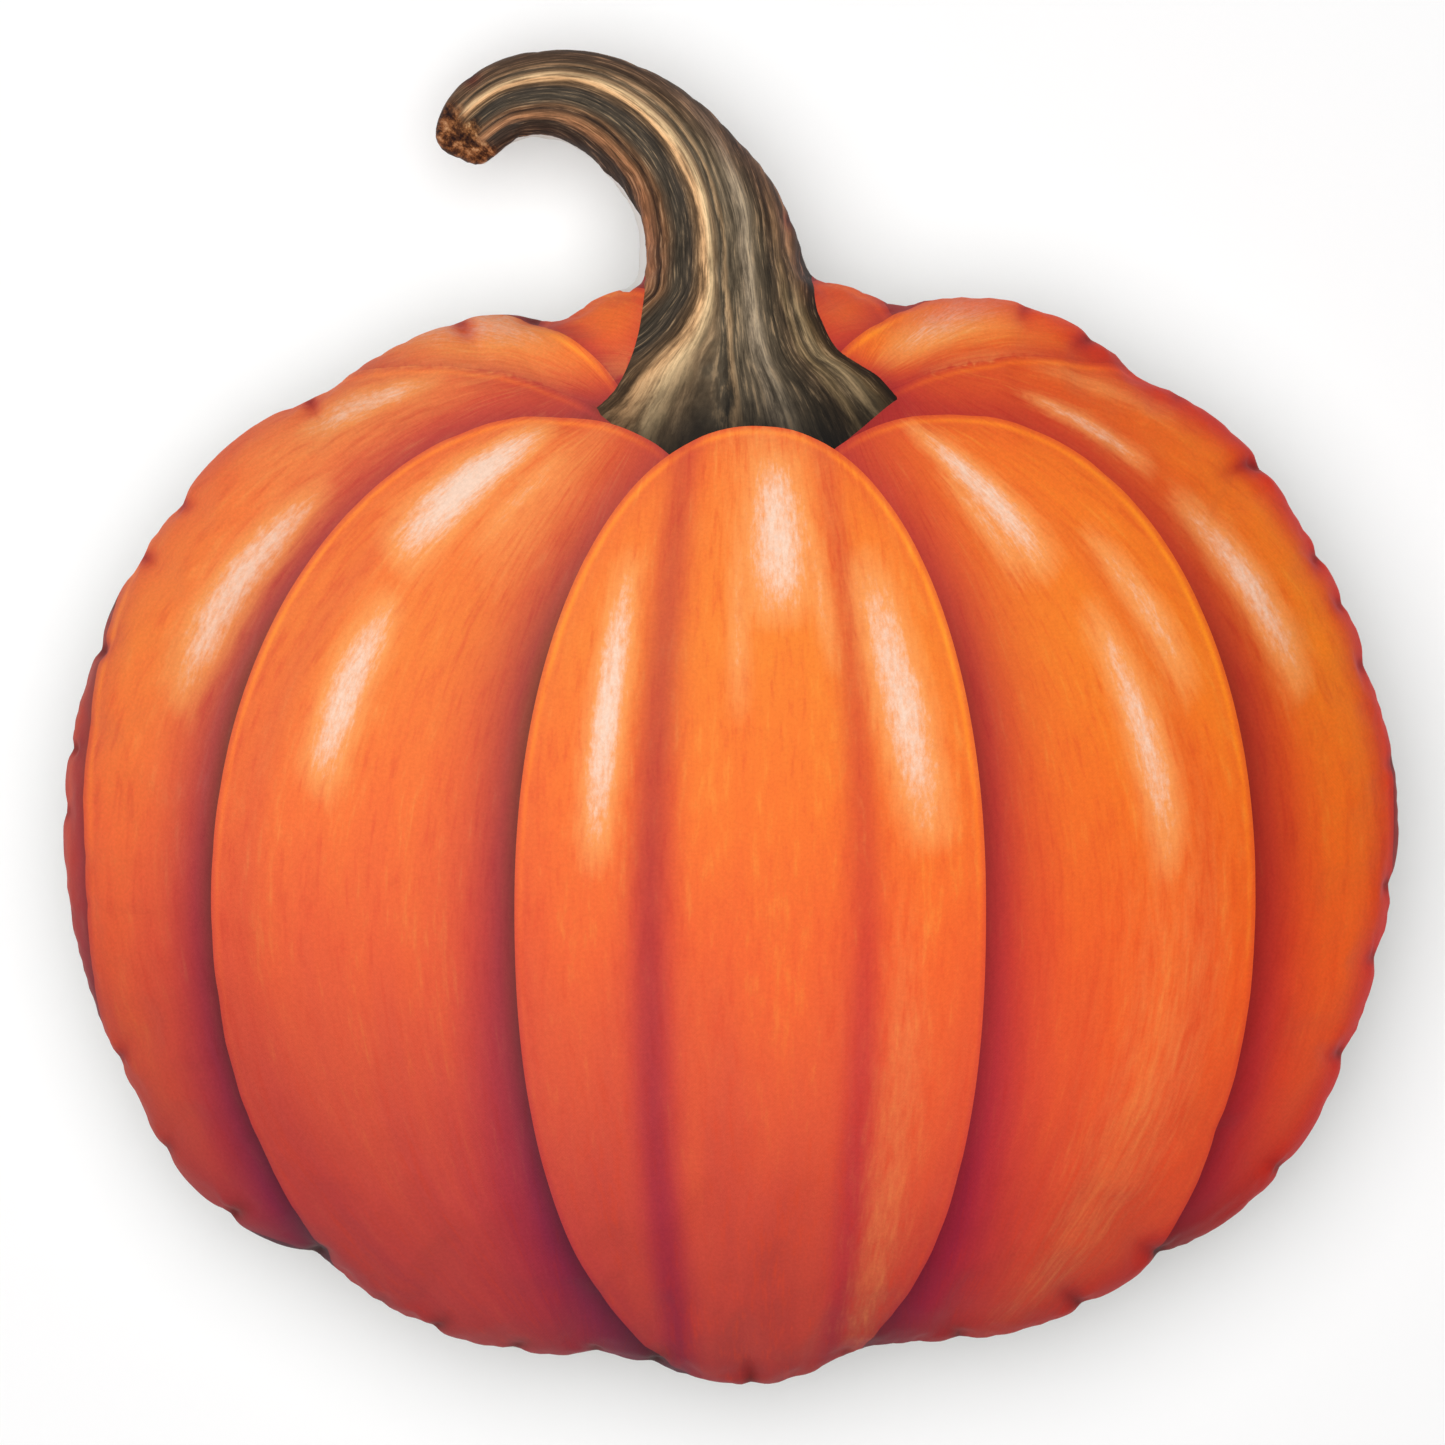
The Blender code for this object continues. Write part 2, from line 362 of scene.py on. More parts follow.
@dataclass(frozen=True)
class Grid:
    """How finely a panel is meshed.

    Attributes:
        rows: how far in from the seam each row of points lies that follows it.
        band: the spacing of the triangles in the band beside those rows.
        band_depth: how far in that band reaches.
        middle: the spacing of the triangles further in.
    """

    rows: tuple[float, ...]
    band: float
    band_depth: float
    middle: float

    def points(self, seam: Array, seam_step: float) -> Array:
        """The panel's points inside its seam.

        Rows follow the seam along its inward normals. Inside them the points are the corners of
        even triangles: x = (i + j / 2) s and y = j s sqrt(3) / 2 for whole i and j.

        Args:
            seam: the seam's plan points in order.
            seam_step: their spacing.

        Returns:
            The plan points.
        """
        found = []
        for inset in self.rows:
            row = seam + inward_normals(seam) * inset
            gap, _ = nearest_on_line(row, seam, closed=True)
            row = row[gap > 0.94 * inset]
            spread = np.linalg.norm(row - np.roll(row, 1, axis=0), axis=1)
            found.append(row[spread > 0.45 * seam_step])
        deepest = self.rows[-1]
        for spacing, start, end in (
            (self.band, deepest + 0.75 * self.band, self.band_depth),
            (self.middle, self.band_depth + 0.4 * self.middle, math.inf),
        ):
            low, high = seam.min(axis=0), seam.max(axis=0)
            across = np.arange(low[0], high[0], spacing)
            up = np.arange(low[1], high[1], spacing * math.sqrt(3.0) / 2.0)
            even = np.stack(np.meshgrid(across, up), axis=2)
            even[1::2, :, 0] += spacing / 2.0
            even = even.reshape(-1, 2)
            even = even[inside_loop(even, seam)]
            gap, _ = nearest_on_line(even, seam, closed=True)
            found.append(even[(gap > start) & (gap < end)])
        return np.vstack(found)


def panel_triangles(seam: Array, inner: Array) -> Array:
    """Triangles of a flat panel, anticlockwise from above, by constrained Delaunay.

    Args:
        seam: the seam's plan points in order, which the triangles stop at.
        inner: the plan points inside it.

    Returns:
        Corner numbers, counting the seam's points first.
    """
    points = np.vstack((seam, inner))
    count = len(seam)
    ring = [(k, (k + 1) % count) for k in range(count)]
    _, _, faces, sources, _, _ = delaunay_2d_cdt([Vector(p) for p in points], ring, [], 1, 1e-8)
    triangles = np.array([[sources[corner][0] for corner in face] for face in faces])
    a, b, c = (points[triangles[:, k]] for k in range(3))
    clockwise = (b - a)[:, 0] * (c - a)[:, 1] < (b - a)[:, 1] * (c - a)[:, 0]
    triangles[clockwise] = triangles[clockwise][:, ::-1]
    return triangles


@dataclass(frozen=True)
class Station:
    """A place on the printed stem's centre line, in mm in the plane of the panel.

    Attributes:
        x: the place across the panel.
        y: the place up the panel.
        half_width: from the centre line to the print's edge.
    """

    x: float
    y: float
    half_width: float


@dataclass(frozen=True)
class StemLine:
    """The centre line of the printed stem, from under its flared foot to its cut tip.

    Attributes:
        stations: places along it. A smooth curve runs through them.
        samples: how many points that curve is worked out at.
    """

    stations: tuple[Station, ...] = (
        Station(4.0, 70.0, 78.0),
        Station(3.0, 92.0, 64.0),
        Station(2.0, 107.0, 52.0),
        Station(0.5, 120.0, 38.0),
        Station(-0.5, 134.0, 31.5),
        Station(-1.5, 150.0, 28.5),
        Station(-6.0, 170.0, 26.5),
        Station(-18.0, 189.0, 25.5),
        Station(-36.0, 203.0, 23.0),
        Station(-56.0, 211.5, 18.5),
        Station(-75.0, 210.0, 15.5),
        Station(-88.0, 202.0, 14.0),
        Station(-96.0, 192.0, 12.5),
    )
    samples: int = 240

    def curve(self) -> tuple[Array, Array]:
        """The centre line as points in metres, with the half width at each.

        Between two stations p and q the curve is the Catmull-Rom cubic, whose slope at each station
        is half the step from the station before it to the one after it.

        Returns:
            The points and the half widths.
        """
        rows = np.array([(s.x, s.y, s.half_width) for s in self.stations]) * MM
        rows = np.vstack((2.0 * rows[:1] - rows[1:2], rows, 2.0 * rows[-1:] - rows[-2:-1]))
        at = np.linspace(0.0, len(self.stations) - 1.0, self.samples)
        k = np.minimum(at.astype(int), len(self.stations) - 2)
        t = (at - k)[:, None]
        before, p, q, after = rows[k], rows[k + 1], rows[k + 2], rows[k + 3]
        slope_p, slope_q = (q - before) / 2.0, (after - p) / 2.0
        line = (
            p * (2.0 * t**3 - 3.0 * t**2 + 1.0)
            + slope_p * (t**3 - 2.0 * t**2 + t)
            + q * (3.0 * t**2 - 2.0 * t**3)
            + slope_q * (t**3 - t**2)
        )
        return line[:, :2], line[:, 2]

    def coordinates(self, plan: Array) -> Array:
        """Where plan points lie on the stem.

        Across is the distance from the centre line over the half width there, negative on the
        hollow side of the curl. Along is the length of the centre line up to the nearest place.

        Args:
            plan: plan points in metres.

        Returns:
            Rows of across (no unit), along (metres) and half width (metres).
        """
        line, half = self.curve()
        gap, place = nearest_on_line(plan, line, closed=False)
        step = np.minimum(place.astype(int), len(line) - 2)
        share = place - step
        heading = unit(line[step + 1] - line[step])
        away = plan - (line[step] + (line[step + 1] - line[step]) * share[:, None])
        side = np.sign(heading[:, 1] * away[:, 0] - heading[:, 0] * away[:, 1])
        width = half[step] * (1.0 - share) + half[step + 1] * share
        run = np.concatenate(([0.0], np.cumsum(np.linalg.norm(np.diff(line, axis=0), axis=1))))
        along = run[step] * (1.0 - share) + run[step + 1] * share
        return np.stack((side * gap / width, along, width), axis=1)


@dataclass(frozen=True)
class Gather:
    """A sharp pucker where the seam pinches the cloth.

    Attributes:
        bearing: its direction from the centre, in degrees from +X towards +Y.
        reach: how far it runs from the seam, in mm along the cloth.
        depth: how deep it is pressed in, in mm.
        width: half its width, in mm.
        slant: how far its inner end lies anticlockwise of the seam's end, in mm.
        centre: the point in mm that the bearing is measured from.
    """

    bearing: float
    reach: float
    depth: float
    width: float = 2.4
    slant: float = 0.0
    centre: tuple[float, float] = (0.0, -39.0)

    def on_seam(self, seam: Array) -> float:
        """Where the gather meets the seam, as the number of the seam's point.

        Args:
            seam: the seam's plan points.

        Returns:
            The number of the nearest of the points that lie within 1 degree of the bearing.
        """
        away = seam - np.array(self.centre) * MM
        turn = np.arctan2(away[:, 1], away[:, 0]) - math.radians(self.bearing)
        turn = np.abs((turn + math.pi) % (2.0 * math.pi) - math.pi)
        far = np.linalg.norm(away, axis=1) + 100.0 * np.maximum(turn - math.radians(1.0), 0.0)
        return float(far.argmin())

    def press(self, side: Array, out: Array) -> tuple[Array, Array]:
        """How the gather moves the cloth, and where it paints shade into the fold.

        Across it is a bell curve with a low ridge on each side. It is shallow beside the seam, so
        that the outline stays even, deepens over the first 9 mm, and then fades out.

        Args:
            side: distance from its line along the seam, in mm.
            out: distance from the seam along the cloth, in mm.

        Returns:
            The move outwards in mm, and how strong the painted shade in the fold is at each place, 0 to 1.
        """
        share = out / self.reach
        side = side - self.slant * share
        width = self.width * (0.7 + 0.9 * share)
        rise = np.clip(out / 9.0, 0.0, 1.0) ** 2
        fall = np.clip(1.0 - share, 0.0, 1.0) ** 1.5
        strength = self.depth * (0.08 + 0.92 * rise) * fall
        fold = np.exp(-((side / width) ** 2))
        ridge = np.exp(-(((np.abs(side) - 2.3 * width) / (1.1 * width)) ** 2))
        # Painted shade in the fold: darkest along its middle near the seam, fading inwards, and darker for
        # deeper gathers.
        dark = np.exp(-((side / (1.05 * width)) ** 2)) * np.clip(1.4 - 1.6 * share, 0.0, 1.0)
        return strength * (0.3 * ridge - fold), dark * min(1.0, self.depth / 2.4)


STEM_SIDE = (2.0, 166.0)
STEM_TIP = (-84.0, 200.0)
GATHERS = (
    Gather(15.0, 22.0, 2.0),
    Gather(20.0, 26.0, 1.8),
    Gather(25.0, 24.0, 2.6, 2.4, -4.0),
    Gather(34.0, 40.0, 3.4, 3.2, 9.0),
    Gather(44.0, 20.0, 1.2),
    Gather(53.0, 26.0, 2.6, 2.8, 4.0),
    Gather(60.0, 24.0, 1.8),
    Gather(112.0, 20.0, 1.8, 3.2),
    Gather(119.0, 24.0, 2.2, 3.4, -3.0),
    Gather(135.0, 24.0, 2.4),
    Gather(149.0, 22.0, 2.0),
    Gather(156.0, 22.0, 2.4),
    Gather(164.0, 24.0, 2.6),
    Gather(172.0, 24.0, 2.6),
    Gather(178.0, 20.0, 1.8),
    Gather(187.0, 18.0, 1.2),
    Gather(200.0, 22.0, 2.2),
    Gather(209.0, 20.0, 2.0),
    Gather(217.0, 28.0, 3.0, 2.6, 3.0),
    Gather(225.0, 26.0, 3.2, 2.4, 4.0),
    Gather(233.0, 18.0, 1.6),
    Gather(238.0, 26.0, 3.0, 2.4, 5.0),
    Gather(247.0, 22.0, 2.4, 2.4, 5.0),
    Gather(255.0, 20.0, 2.0),
    Gather(262.0, 28.0, 3.0, 2.4, 4.0),
    Gather(272.0, 26.0, 3.0),
    Gather(282.0, 20.0, 2.0),
    Gather(295.0, 22.0, 2.4),
    Gather(307.0, 28.0, 3.2, 2.6, -4.0),
    Gather(316.0, 28.0, 3.2, 2.6, -3.0),
    Gather(329.0, 24.0, 2.2),
    Gather(340.0, 26.0, 3.0),
    Gather(349.0, 22.0, 2.2),
    Gather(356.0, 22.0, 2.4),
    Gather(5.0, 20.0, 1.8),
    Gather(12.0, 16.0, 2.0, 2.6, 0.0, STEM_SIDE),
    Gather(110.0, 14.0, 2.0, 2.4, 0.0, STEM_TIP),
)


@dataclass(frozen=True)
class Filling:
    """How the cover is blown up from inside by Blender's cloth.

    Attributes:
        frames: how many frames it takes.
        pressure: the filling's push.
        spare: how much more cloth there is than the starting shape needs, as a share of length.
        bending: how stiffly the cloth bends.
        stretch: how stiffly it stretches.
        most_move: how far a point may end from where it started, in metres.
        rounding: how high over the floor the cloth starts to leave it, in metres.
        mass: the cloth's mass at each point.
        damping: how much the air slows it.
        hold: how firmly the seam is held.
        quality: how many steps the simulation takes in each frame.
    """

    frames: int = 20
    pressure: float = 4.0
    spare: float = 0.012
    bending: float = 0.5
    stretch: float = 20.0
    most_move: float = 9.0 * MM
    rounding: float = 6.0 * MM
    mass: float = 0.2
    damping: float = 2.0
    hold: float = 50.0
    quality: int = 6


@dataclass
class CushionCover:
    """The two sewn panels, filled.

    Attributes:
        name: the piece's name.
        seam_step: the spacing of the mesh's points along the seam.
        face_grid: how finely the printed face is meshed.
        back_grid: how finely the back is meshed.
        filling: how it is blown up.
        gathers: the puckers along the seam.
        smooth_from: how far in from the seam the solid's facets start to be smoothed away.
        smooth_over: over how much cloth that grows to its full strength.
        smooth_passes: how often it is done.
        edge_reach: how far from the seam the gathers and the groove reach at most.
        seam_depth: how deep the seam's groove is, in mm.
        seam_width: half the groove's width, in mm.
        swell_height: how high the cloth swells beside the groove, in mm.
        swell_place: how far from the seam the swell lies, in mm.
        swell_width: half its width, in mm.
        under_share: how strong the gathers are on the back, as a share of those on the face.
    """

    name: str = "filled_cover"
    seam_step: float = 3.2 * MM
    face_grid: Grid = Grid((0.9 * MM, 2.2 * MM, 4.0 * MM, 6.4 * MM), 3.8 * MM, 30.0 * MM, 6.2 * MM)
    back_grid: Grid = Grid((1.1 * MM, 3.2 * MM, 6.4 * MM), 4.6 * MM, 30.0 * MM, 9.0 * MM)
    filling: Filling = Filling()
    gathers: tuple[Gather, ...] = GATHERS
    smooth_from: float = 12.0 * MM
    smooth_over: float = 20.0 * MM
    smooth_passes: int = 12
    edge_reach: float = 32.0 * MM
    seam_depth: float = 0.8
    seam_width: float = 1.7
    swell_height: float = 0.5
    swell_place: float = 4.6
    swell_width: float = 2.6
    under_share: float = 0.6

    def build(self, solid: Solid) -> bpy.types.Object:
        """Makes the cover from the part's solid.

        Args:
            solid: the part's solid.

        Returns:
            The finished piece, without its materials.
        """
        seam = respaced(solid.seam(), self.seam_step)
        piece = self.cut(solid, seam)
        self.fill(piece)
        plan = panel_places(piece.data)
        PUMPKIN.mark(piece.data, print_places(piece.data))
        self.gather(piece, seam, plan)
        return piece

    def cut(self, solid: Solid, seam: Array) -> bpy.types.Object:
        """The two panels on the solid's own surface, before they are filled.

        Args:
            solid: the part's solid.
            seam: the seam's points.

        Returns:
            The piece, with its panel map and the attributes that the print reads.
        """
        plan = seam[:, :2]
        face_inner = self.face_grid.points(plan, self.seam_step)
        back_inner = self.back_grid.points(plan, self.seam_step)
        face = panel_triangles(plan, face_inner)
        back = panel_triangles(plan, back_inner)
        held = len(seam)
        face_points = np.column_stack((face_inner, heights_on(face_inner, solid.points, solid.face)))
        back_points = np.column_stack((back_inner, heights_on(back_inner, solid.points, solid.back)))
        back = np.where(back < held, back, back + len(face_inner))[:, ::-1]

        mesh = bpy.data.meshes.new(self.name)
        points = np.vstack((seam, face_points, back_points))
        mesh.from_pydata(points.tolist(), [], np.vstack((face, back)).tolist())
        gap, _ = nearest_on_line(points[:, :2], plan, closed=True)
        gap[:held] = 0.0
        soft = np.clip((gap - self.smooth_from) / self.smooth_over, 0.0, 1.0)
        points[:, 2] = smoothed(points[:, 2], mesh_edges(mesh), soft, self.smooth_passes)
        mesh.vertices.foreach_set("co", points.astype(np.float32).ravel())
        mesh.polygons.foreach_set(
            "material_index", np.repeat((0, 1), (len(face), len(back))).astype(np.int32)
        )

        corners = np.vstack((face, back)).ravel()
        panel_map = mesh.uv_layers.new(name="panel")
        panel_map.data.foreach_set("uv", points[corners, :2].astype(np.float32).ravel())
        store(mesh, "from_seam", gap)
        piece = bpy.data.objects.new(self.name, mesh)
        bpy.context.scene.collection.objects.link(piece)
        sewn = piece.vertex_groups.new(name="sewn")
        sewn.add(list(range(held)), 1.0, "REPLACE")
        return piece

    def fill(self, piece: bpy.types.Object) -> None:
        """Blows the cover up, holds how far it may swell, and makes its mesh finer once.

        Args:
            piece: the cut cover.
        """
        start = mesh_points(piece.data)
        self.simulate(piece)
        move = mesh_points(piece.data) - start
        length = np.linalg.norm(move, axis=1)
        share = np.minimum(1.0, self.filling.most_move / np.maximum(length, 1e-9))
        end = start + move * share[:, None]
        LOG.info("filling moved the cloth %.1f mm at most", length.max() / MM)
        end[:, 2] = set_down(end[:, 2], self.filling.rounding)
        piece.data.vertices.foreach_set("co", end.astype(np.float32).ravel())
        finer = piece.modifiers.new("finer", "SUBSURF")
        finer.levels = finer.render_levels = 1
        finer.use_limit_surface = False
        self.apply_modifiers(piece)
        piece.data.shade_smooth()

    def simulate(self, piece: bpy.types.Object) -> None:
        """Runs Blender's cloth on the piece and keeps its last frame.

        Args:
            piece: the cut cover.
        """
        cloth = piece.modifiers.new("filling", "CLOTH")
        settings = cloth.settings
        settings.quality = self.filling.quality
        settings.mass = self.filling.mass
        settings.tension_stiffness = self.filling.stretch
        settings.compression_stiffness = self.filling.stretch
        settings.shear_stiffness = self.filling.stretch * 0.5
        settings.bending_stiffness = self.filling.bending
        settings.air_damping = self.filling.damping
        settings.vertex_group_mass = "sewn"
        settings.pin_stiffness = self.filling.hold
        settings.use_pressure = True
        settings.uniform_pressure_force = self.filling.pressure
        settings.shrink_min = -self.filling.spare
        settings.effector_weights.gravity = 0.0
        cloth.collision_settings.use_collision = False
        cloth.point_cache.frame_start = 1
        cloth.point_cache.frame_end = self.filling.frames
        scene = bpy.context.scene
        for frame in range(1, self.filling.frames + 1):
            scene.frame_set(frame)
        self.apply_modifiers(piece)
        scene.frame_set(1)

    @staticmethod
    def apply_modifiers(piece: bpy.types.Object) -> None:
        """Keeps the mesh as its modifiers show it, and removes them.

        Args:
            piece: the object.
        """
        graph = bpy.context.evaluated_depsgraph_get()
        made = bpy.data.meshes.new_from_object(
            piece.evaluated_get(graph), preserve_all_data_layers=True, depsgraph=graph
        )
        piece.modifiers.clear()
        piece.data = made

    def gather(self, piece: bpy.types.Object, seam: Array, plan: Array) -> None:
        """Presses the gathers and the seam's groove into the filled cover.

        The cloth moves along its normal. The groove is a bell curve of the distance from the seam
        with a low swell beside it.

        Args:
            piece: the filled cover.
            seam: the seam's points.
            plan: the cover's points' places on the flat panel.
        """
        mesh = piece.data
        points = mesh_points(mesh)
        normals = np.empty(len(points) * 3, np.float32)
        mesh.vertex_normals.foreach_get("vector", normals)
        from_seam = np.empty(len(points), np.float32)
        mesh.attributes["from_seam"].data.foreach_get("value", from_seam)

        near = np.flatnonzero(from_seam < self.edge_reach)
        gap, place = nearest_on_line(plan[near], seam[:, :2], closed=True)
        step = np.linalg.norm(np.roll(seam, -1, axis=0) - seam, axis=1).mean() / MM
        rise = points[near, 2] - seam[place.astype(int) % len(seam), 2]
        out = np.hypot(gap, rise) / MM
        swell = self.swell_height * np.exp(-(((out - self.swell_place) / self.swell_width) ** 2))
        move = swell - self.seam_depth * np.exp(-((out / self.seam_width) ** 2))
        # fold collects the painted shade of the gathers' folds.
        fold = np.zeros(len(near))
        strength = np.where(rise >= -0.2 * MM, 1.0, self.under_share)
        for gather in self.gathers:
            side = place - gather.on_seam(seam[:, :2])
            side = (side + len(seam) / 2.0) % len(seam) - len(seam) / 2.0
            pressed, dark = gather.press(side * step, out)
            move += pressed * strength
            fold = np.maximum(fold, dark)
        points[near] += normals.reshape(-1, 3)[near] * (move * MM)[:, None]
        points[:, 2] = np.maximum(points[:, 2], 0.0)
        mesh.vertices.foreach_set("co", points.astype(np.float32).ravel())
        # The painted fold shade goes into the third value of brushed.
        strokes_and_fold_shade = mesh.attributes["strokes_and_fold_shade"]
        marks = np.empty(len(points) * 3, np.float32)
        strokes_and_fold_shade.data.foreach_get("vector", marks)
        marks.reshape(-1, 3)[near, 2] = fold
        strokes_and_fold_shade.data.foreach_set("vector", marks)
        mesh.update()


@dataclass(frozen=True)
class Term:
    """A number, vector or colour that a node tree works out at each place on the surface.

    Python's own signs add Math nodes, so a formula reads as it is written.

    Attributes:
        tree: the node tree.
        socket: the output that carries it.
    """

    tree: bpy.types.NodeTree
    socket: Socket

    def sum(self, operation: str, *others: Term | float) -> Term:
        """Adds one Math node whose first value is this one.

        Args:
            operation: the Math node's operation.
            others: its further values.

        Returns:
            The result.
        """
        node = self.tree.nodes.new("ShaderNodeMath")
        node.operation = operation
        for place, value in zip(node.inputs, (self, *others)):
            join(value, place)
        return Term(self.tree, node.outputs[0])

    def __add__(self, other: Term | float) -> Term:
        """The sum of the two."""
        return self.sum("ADD", other)

    def __sub__(self, other: Term | float) -> Term:
        """This one less the other."""
        return self.sum("SUBTRACT", other)

    def __mul__(self, other: Term | float) -> Term:
        """The product of the two."""
        return self.sum("MULTIPLY", other)

    def __truediv__(self, other: Term | float) -> Term:
        """This one over the other."""
        return self.sum("DIVIDE", other)

    def __pow__(self, other: Term | float) -> Term:
        """This one to the power of the other."""
        return self.sum("POWER", other)

    def from_one(self) -> Term:
        """1 less this one."""
        return (self * -1.0) + 1.0

    def bell(self) -> Term:
        """The bell curve exp(-x x)."""
        return (self * self * -1.0).sum("EXPONENT")


def join(value: Term | float | tuple[float, ...], place: Socket) -> None:
    """Links a term to a node's input, or sets the input to a plain value.

    Args:
        value: the term, number or tuple.
        place: the input.
    """
    if isinstance(value, Term):
        value.tree.links.new(value.socket, place)
    else:
        place.default_value = value


@dataclass(frozen=True)
class Sheet:
    """A node tree that formulas are written into.

    Attributes:
        tree: the node tree.
    """

    tree: bpy.types.NodeTree

    def add(self, kind: str, values: dict[str | int, object], **settings: object) -> bpy.types.Node:
        """Adds a node.

        Args:
            kind: its type.
            values: what goes into its inputs, by name or number.
            settings: its own properties.

        Returns:
            The node.
        """
        node = self.tree.nodes.new(kind)
        for name, value in settings.items():
            setattr(node, name, value)
        for name, value in values.items():
            join(value, node.inputs[name])
        return node

    def term(self, node: bpy.types.Node, name: str | int = 0) -> Term:
        """One of a node's outputs as a term."""
        return Term(self.tree, node.outputs[name])

    def vector(self, x: Term | float, y: Term | float, z: Term | float = 0.0) -> Term:
        """A vector of three numbers."""
        return self.term(self.add("ShaderNodeCombineXYZ", {"X": x, "Y": y, "Z": z}))

    def parts(self, vector: Term) -> tuple[Term, Term, Term]:
        """A vector's three numbers."""
        node = self.add("ShaderNodeSeparateXYZ", {"Vector": vector})
        return self.term(node, "X"), self.term(node, "Y"), self.term(node, "Z")

    def vector_sum(self, operation: str, a: Term | Point, b: Term | Point, out: str = "Vector") -> Term:
        """Adds one Vector Math node.

        Args:
            operation: its operation.
            a: the first vector.
            b: the second vector.
            out: which output is wanted.

        Returns:
            The result.
        """
        return self.term(self.add("ShaderNodeVectorMath", {0: a, 1: b}, operation=operation), out)

    def scaled(self, vector: Term | Point, factor: Term | float) -> Term:
        """A vector or colour times a number."""
        node = self.add("ShaderNodeVectorMath", {0: vector, "Scale": factor}, operation="SCALE")
        return self.term(node)

    def ease(self, value: Term, start: float, end: float, low: float = 0.0, high: float = 1.0) -> Term:
        """A smooth step: low up to start, high from end on, and 3 t t - 2 t t t between."""
        values = {"Value": value, "From Min": start, "From Max": end, "To Min": low, "To Max": high}
        return self.term(self.add("ShaderNodeMapRange", values, interpolation_type="SMOOTHSTEP"))

    def blend(self, share: Term | float, a: object, b: object) -> Term:
        """Colour a, going over to colour b with the share."""
        node = self.add("ShaderNodeMix", {0: share, 6: a, 7: b}, data_type="RGBA", clamp_factor=True)
        return self.term(node, 2)

    def choose(self, share: Term, a: Term, b: Term) -> Term:
        """Vector a, going over to vector b with the share."""
        node = self.add("ShaderNodeMix", {0: share, 4: a, 5: b}, data_type="VECTOR")
        return self.term(node, 1)

    def noise(self, at: Term, scale: float, detail: float = 2.0, rough: float = 0.5) -> Term:
        """Fractal noise round 0.5."""
        values = {"Vector": at, "Scale": scale, "Detail": detail, "Roughness": rough}
        return self.term(self.add("ShaderNodeTexNoise", values))

    def ramp(self, value: Term, stops: tuple[tuple[float, Dye], ...]) -> Term:
        """A colour that follows a number through a table.

        Args:
            value: the number.
            stops: the numbers and the colours there, in rising order.

        Returns:
            The colour, in straight steps between the stops.
        """
        first, last = stops[0][0], stops[-1][0]
        node = self.add("ShaderNodeValToRGB", {"Fac": (value - first) / (last - first)})
        band = node.color_ramp
        for _ in range(len(stops) - 2):
            band.elements.new(0.5)
        for stop, (place, dye) in zip(band.elements, stops):
            stop.position = (place - first) / (last - first)
            stop.color = dye.rgba
        return self.term(node)


@dataclass(frozen=True)
class Dye:
    """A colour of the print, named by how it looks on the lit cloth.

    Attributes:
        red: the red that shows on a screen, 0 to 255.
        green: the green.
        blue: the blue.
        LIGHT: the light that falls on the cloth.
        HAZE: what the cloth's gloss adds to every colour.
    """

    red: int
    green: int
    blue: int

    LIGHT = 1.08
    HAZE = 0.012

    @property
    def rgba(self) -> tuple[float, float, float, float]:
        """The cloth's own colour.

        It is the screen's colour made linear, less the haze that the cloth's gloss adds, over the
        light that falls on it.
        """
        shown = (self.red / 255.0, self.green / 255.0, self.blue / 255.0)
        linear = [c / 12.92 if c < 0.04045 else ((c + 0.055) / 1.055) ** 2.4 for c in shown]
        own = [min(0.97, max(0.002, (c - self.HAZE) / self.LIGHT)) for c in linear]
        return (*own, 1.0)


def dress(sheet: Sheet, colour: Term, height: Term, roughness: float, gloss: float) -> None:
    """Gives a cloth's colour and the bump of its threads to the material's shader.

    Args:
        sheet: the material's node tree.
        colour: the colour.
        height: the threads' height.
        roughness: how dull the cloth is.
        gloss: how much light it mirrors.
    """
    bump = sheet.add("ShaderNodeBump", {"Height": height, "Strength": 0.25, "Distance": 0.12 * MM})
    shader = sheet.tree.nodes["Principled BSDF"]
    join(colour, shader.inputs["Base Color"])
    join(sheet.term(bump), shader.inputs["Normal"])
    shader.inputs["Roughness"].default_value = roughness
    shader.inputs["Specular IOR Level"].default_value = gloss


class SurfaceEffect:
    """A node group with named sockets, made once and used wherever it is needed.

    Attributes:
        name: the group's name.
        takes: its inputs and their types.
        gives: its outputs and their types.
    """

    name: str = ""
    takes: dict[str, str] = {}
    gives: dict[str, str] = {}

    def draw(self, sheet: Sheet, given: dict[str, Term]) -> dict[str, Term]:
        """Writes the group's formulas.

        Args:
            sheet: the group's own node tree.
            given: its inputs by name.

        Returns:
            Its outputs by name.
        """
        raise NotImplementedError

    def tree(self) -> bpy.types.NodeTree:
        """The group's node tree, made at the first call."""
        made = bpy.data.node_groups.get(self.name)
        if made is not None:
            return made
        made = bpy.data.node_groups.new(self.name, "ShaderNodeTree")
        for name, kind in self.takes.items():
            made.interface.new_socket(name, in_out="INPUT", socket_type=f"NodeSocket{kind}")
        for name, kind in self.gives.items():
            made.interface.new_socket(name, in_out="OUTPUT", socket_type=f"NodeSocket{kind}")
        sheet = Sheet(made)
        source = made.nodes.new("NodeGroupInput")
        given = {name: sheet.term(source, name) for name in self.takes}
        end = made.nodes.new("NodeGroupOutput")
        for name, value in self.draw(sheet, given).items():
            join(value, end.inputs[name])
        return made

    def use(self, sheet: Sheet, **values: object) -> dict[str, Term]:
        """Puts the group into a tree.

        Args:
            sheet: the tree.
            values: what goes into its inputs, by name with low lines for spaces.

        Returns:
            Its outputs by name.
        """
        node = sheet.tree.nodes.new("ShaderNodeGroup")
        node.node_tree = self.tree()
        for name, value in values.items():
            join(value, node.inputs[name.replace("_", " ")])
        return {name: sheet.term(node, name) for name in self.gives}


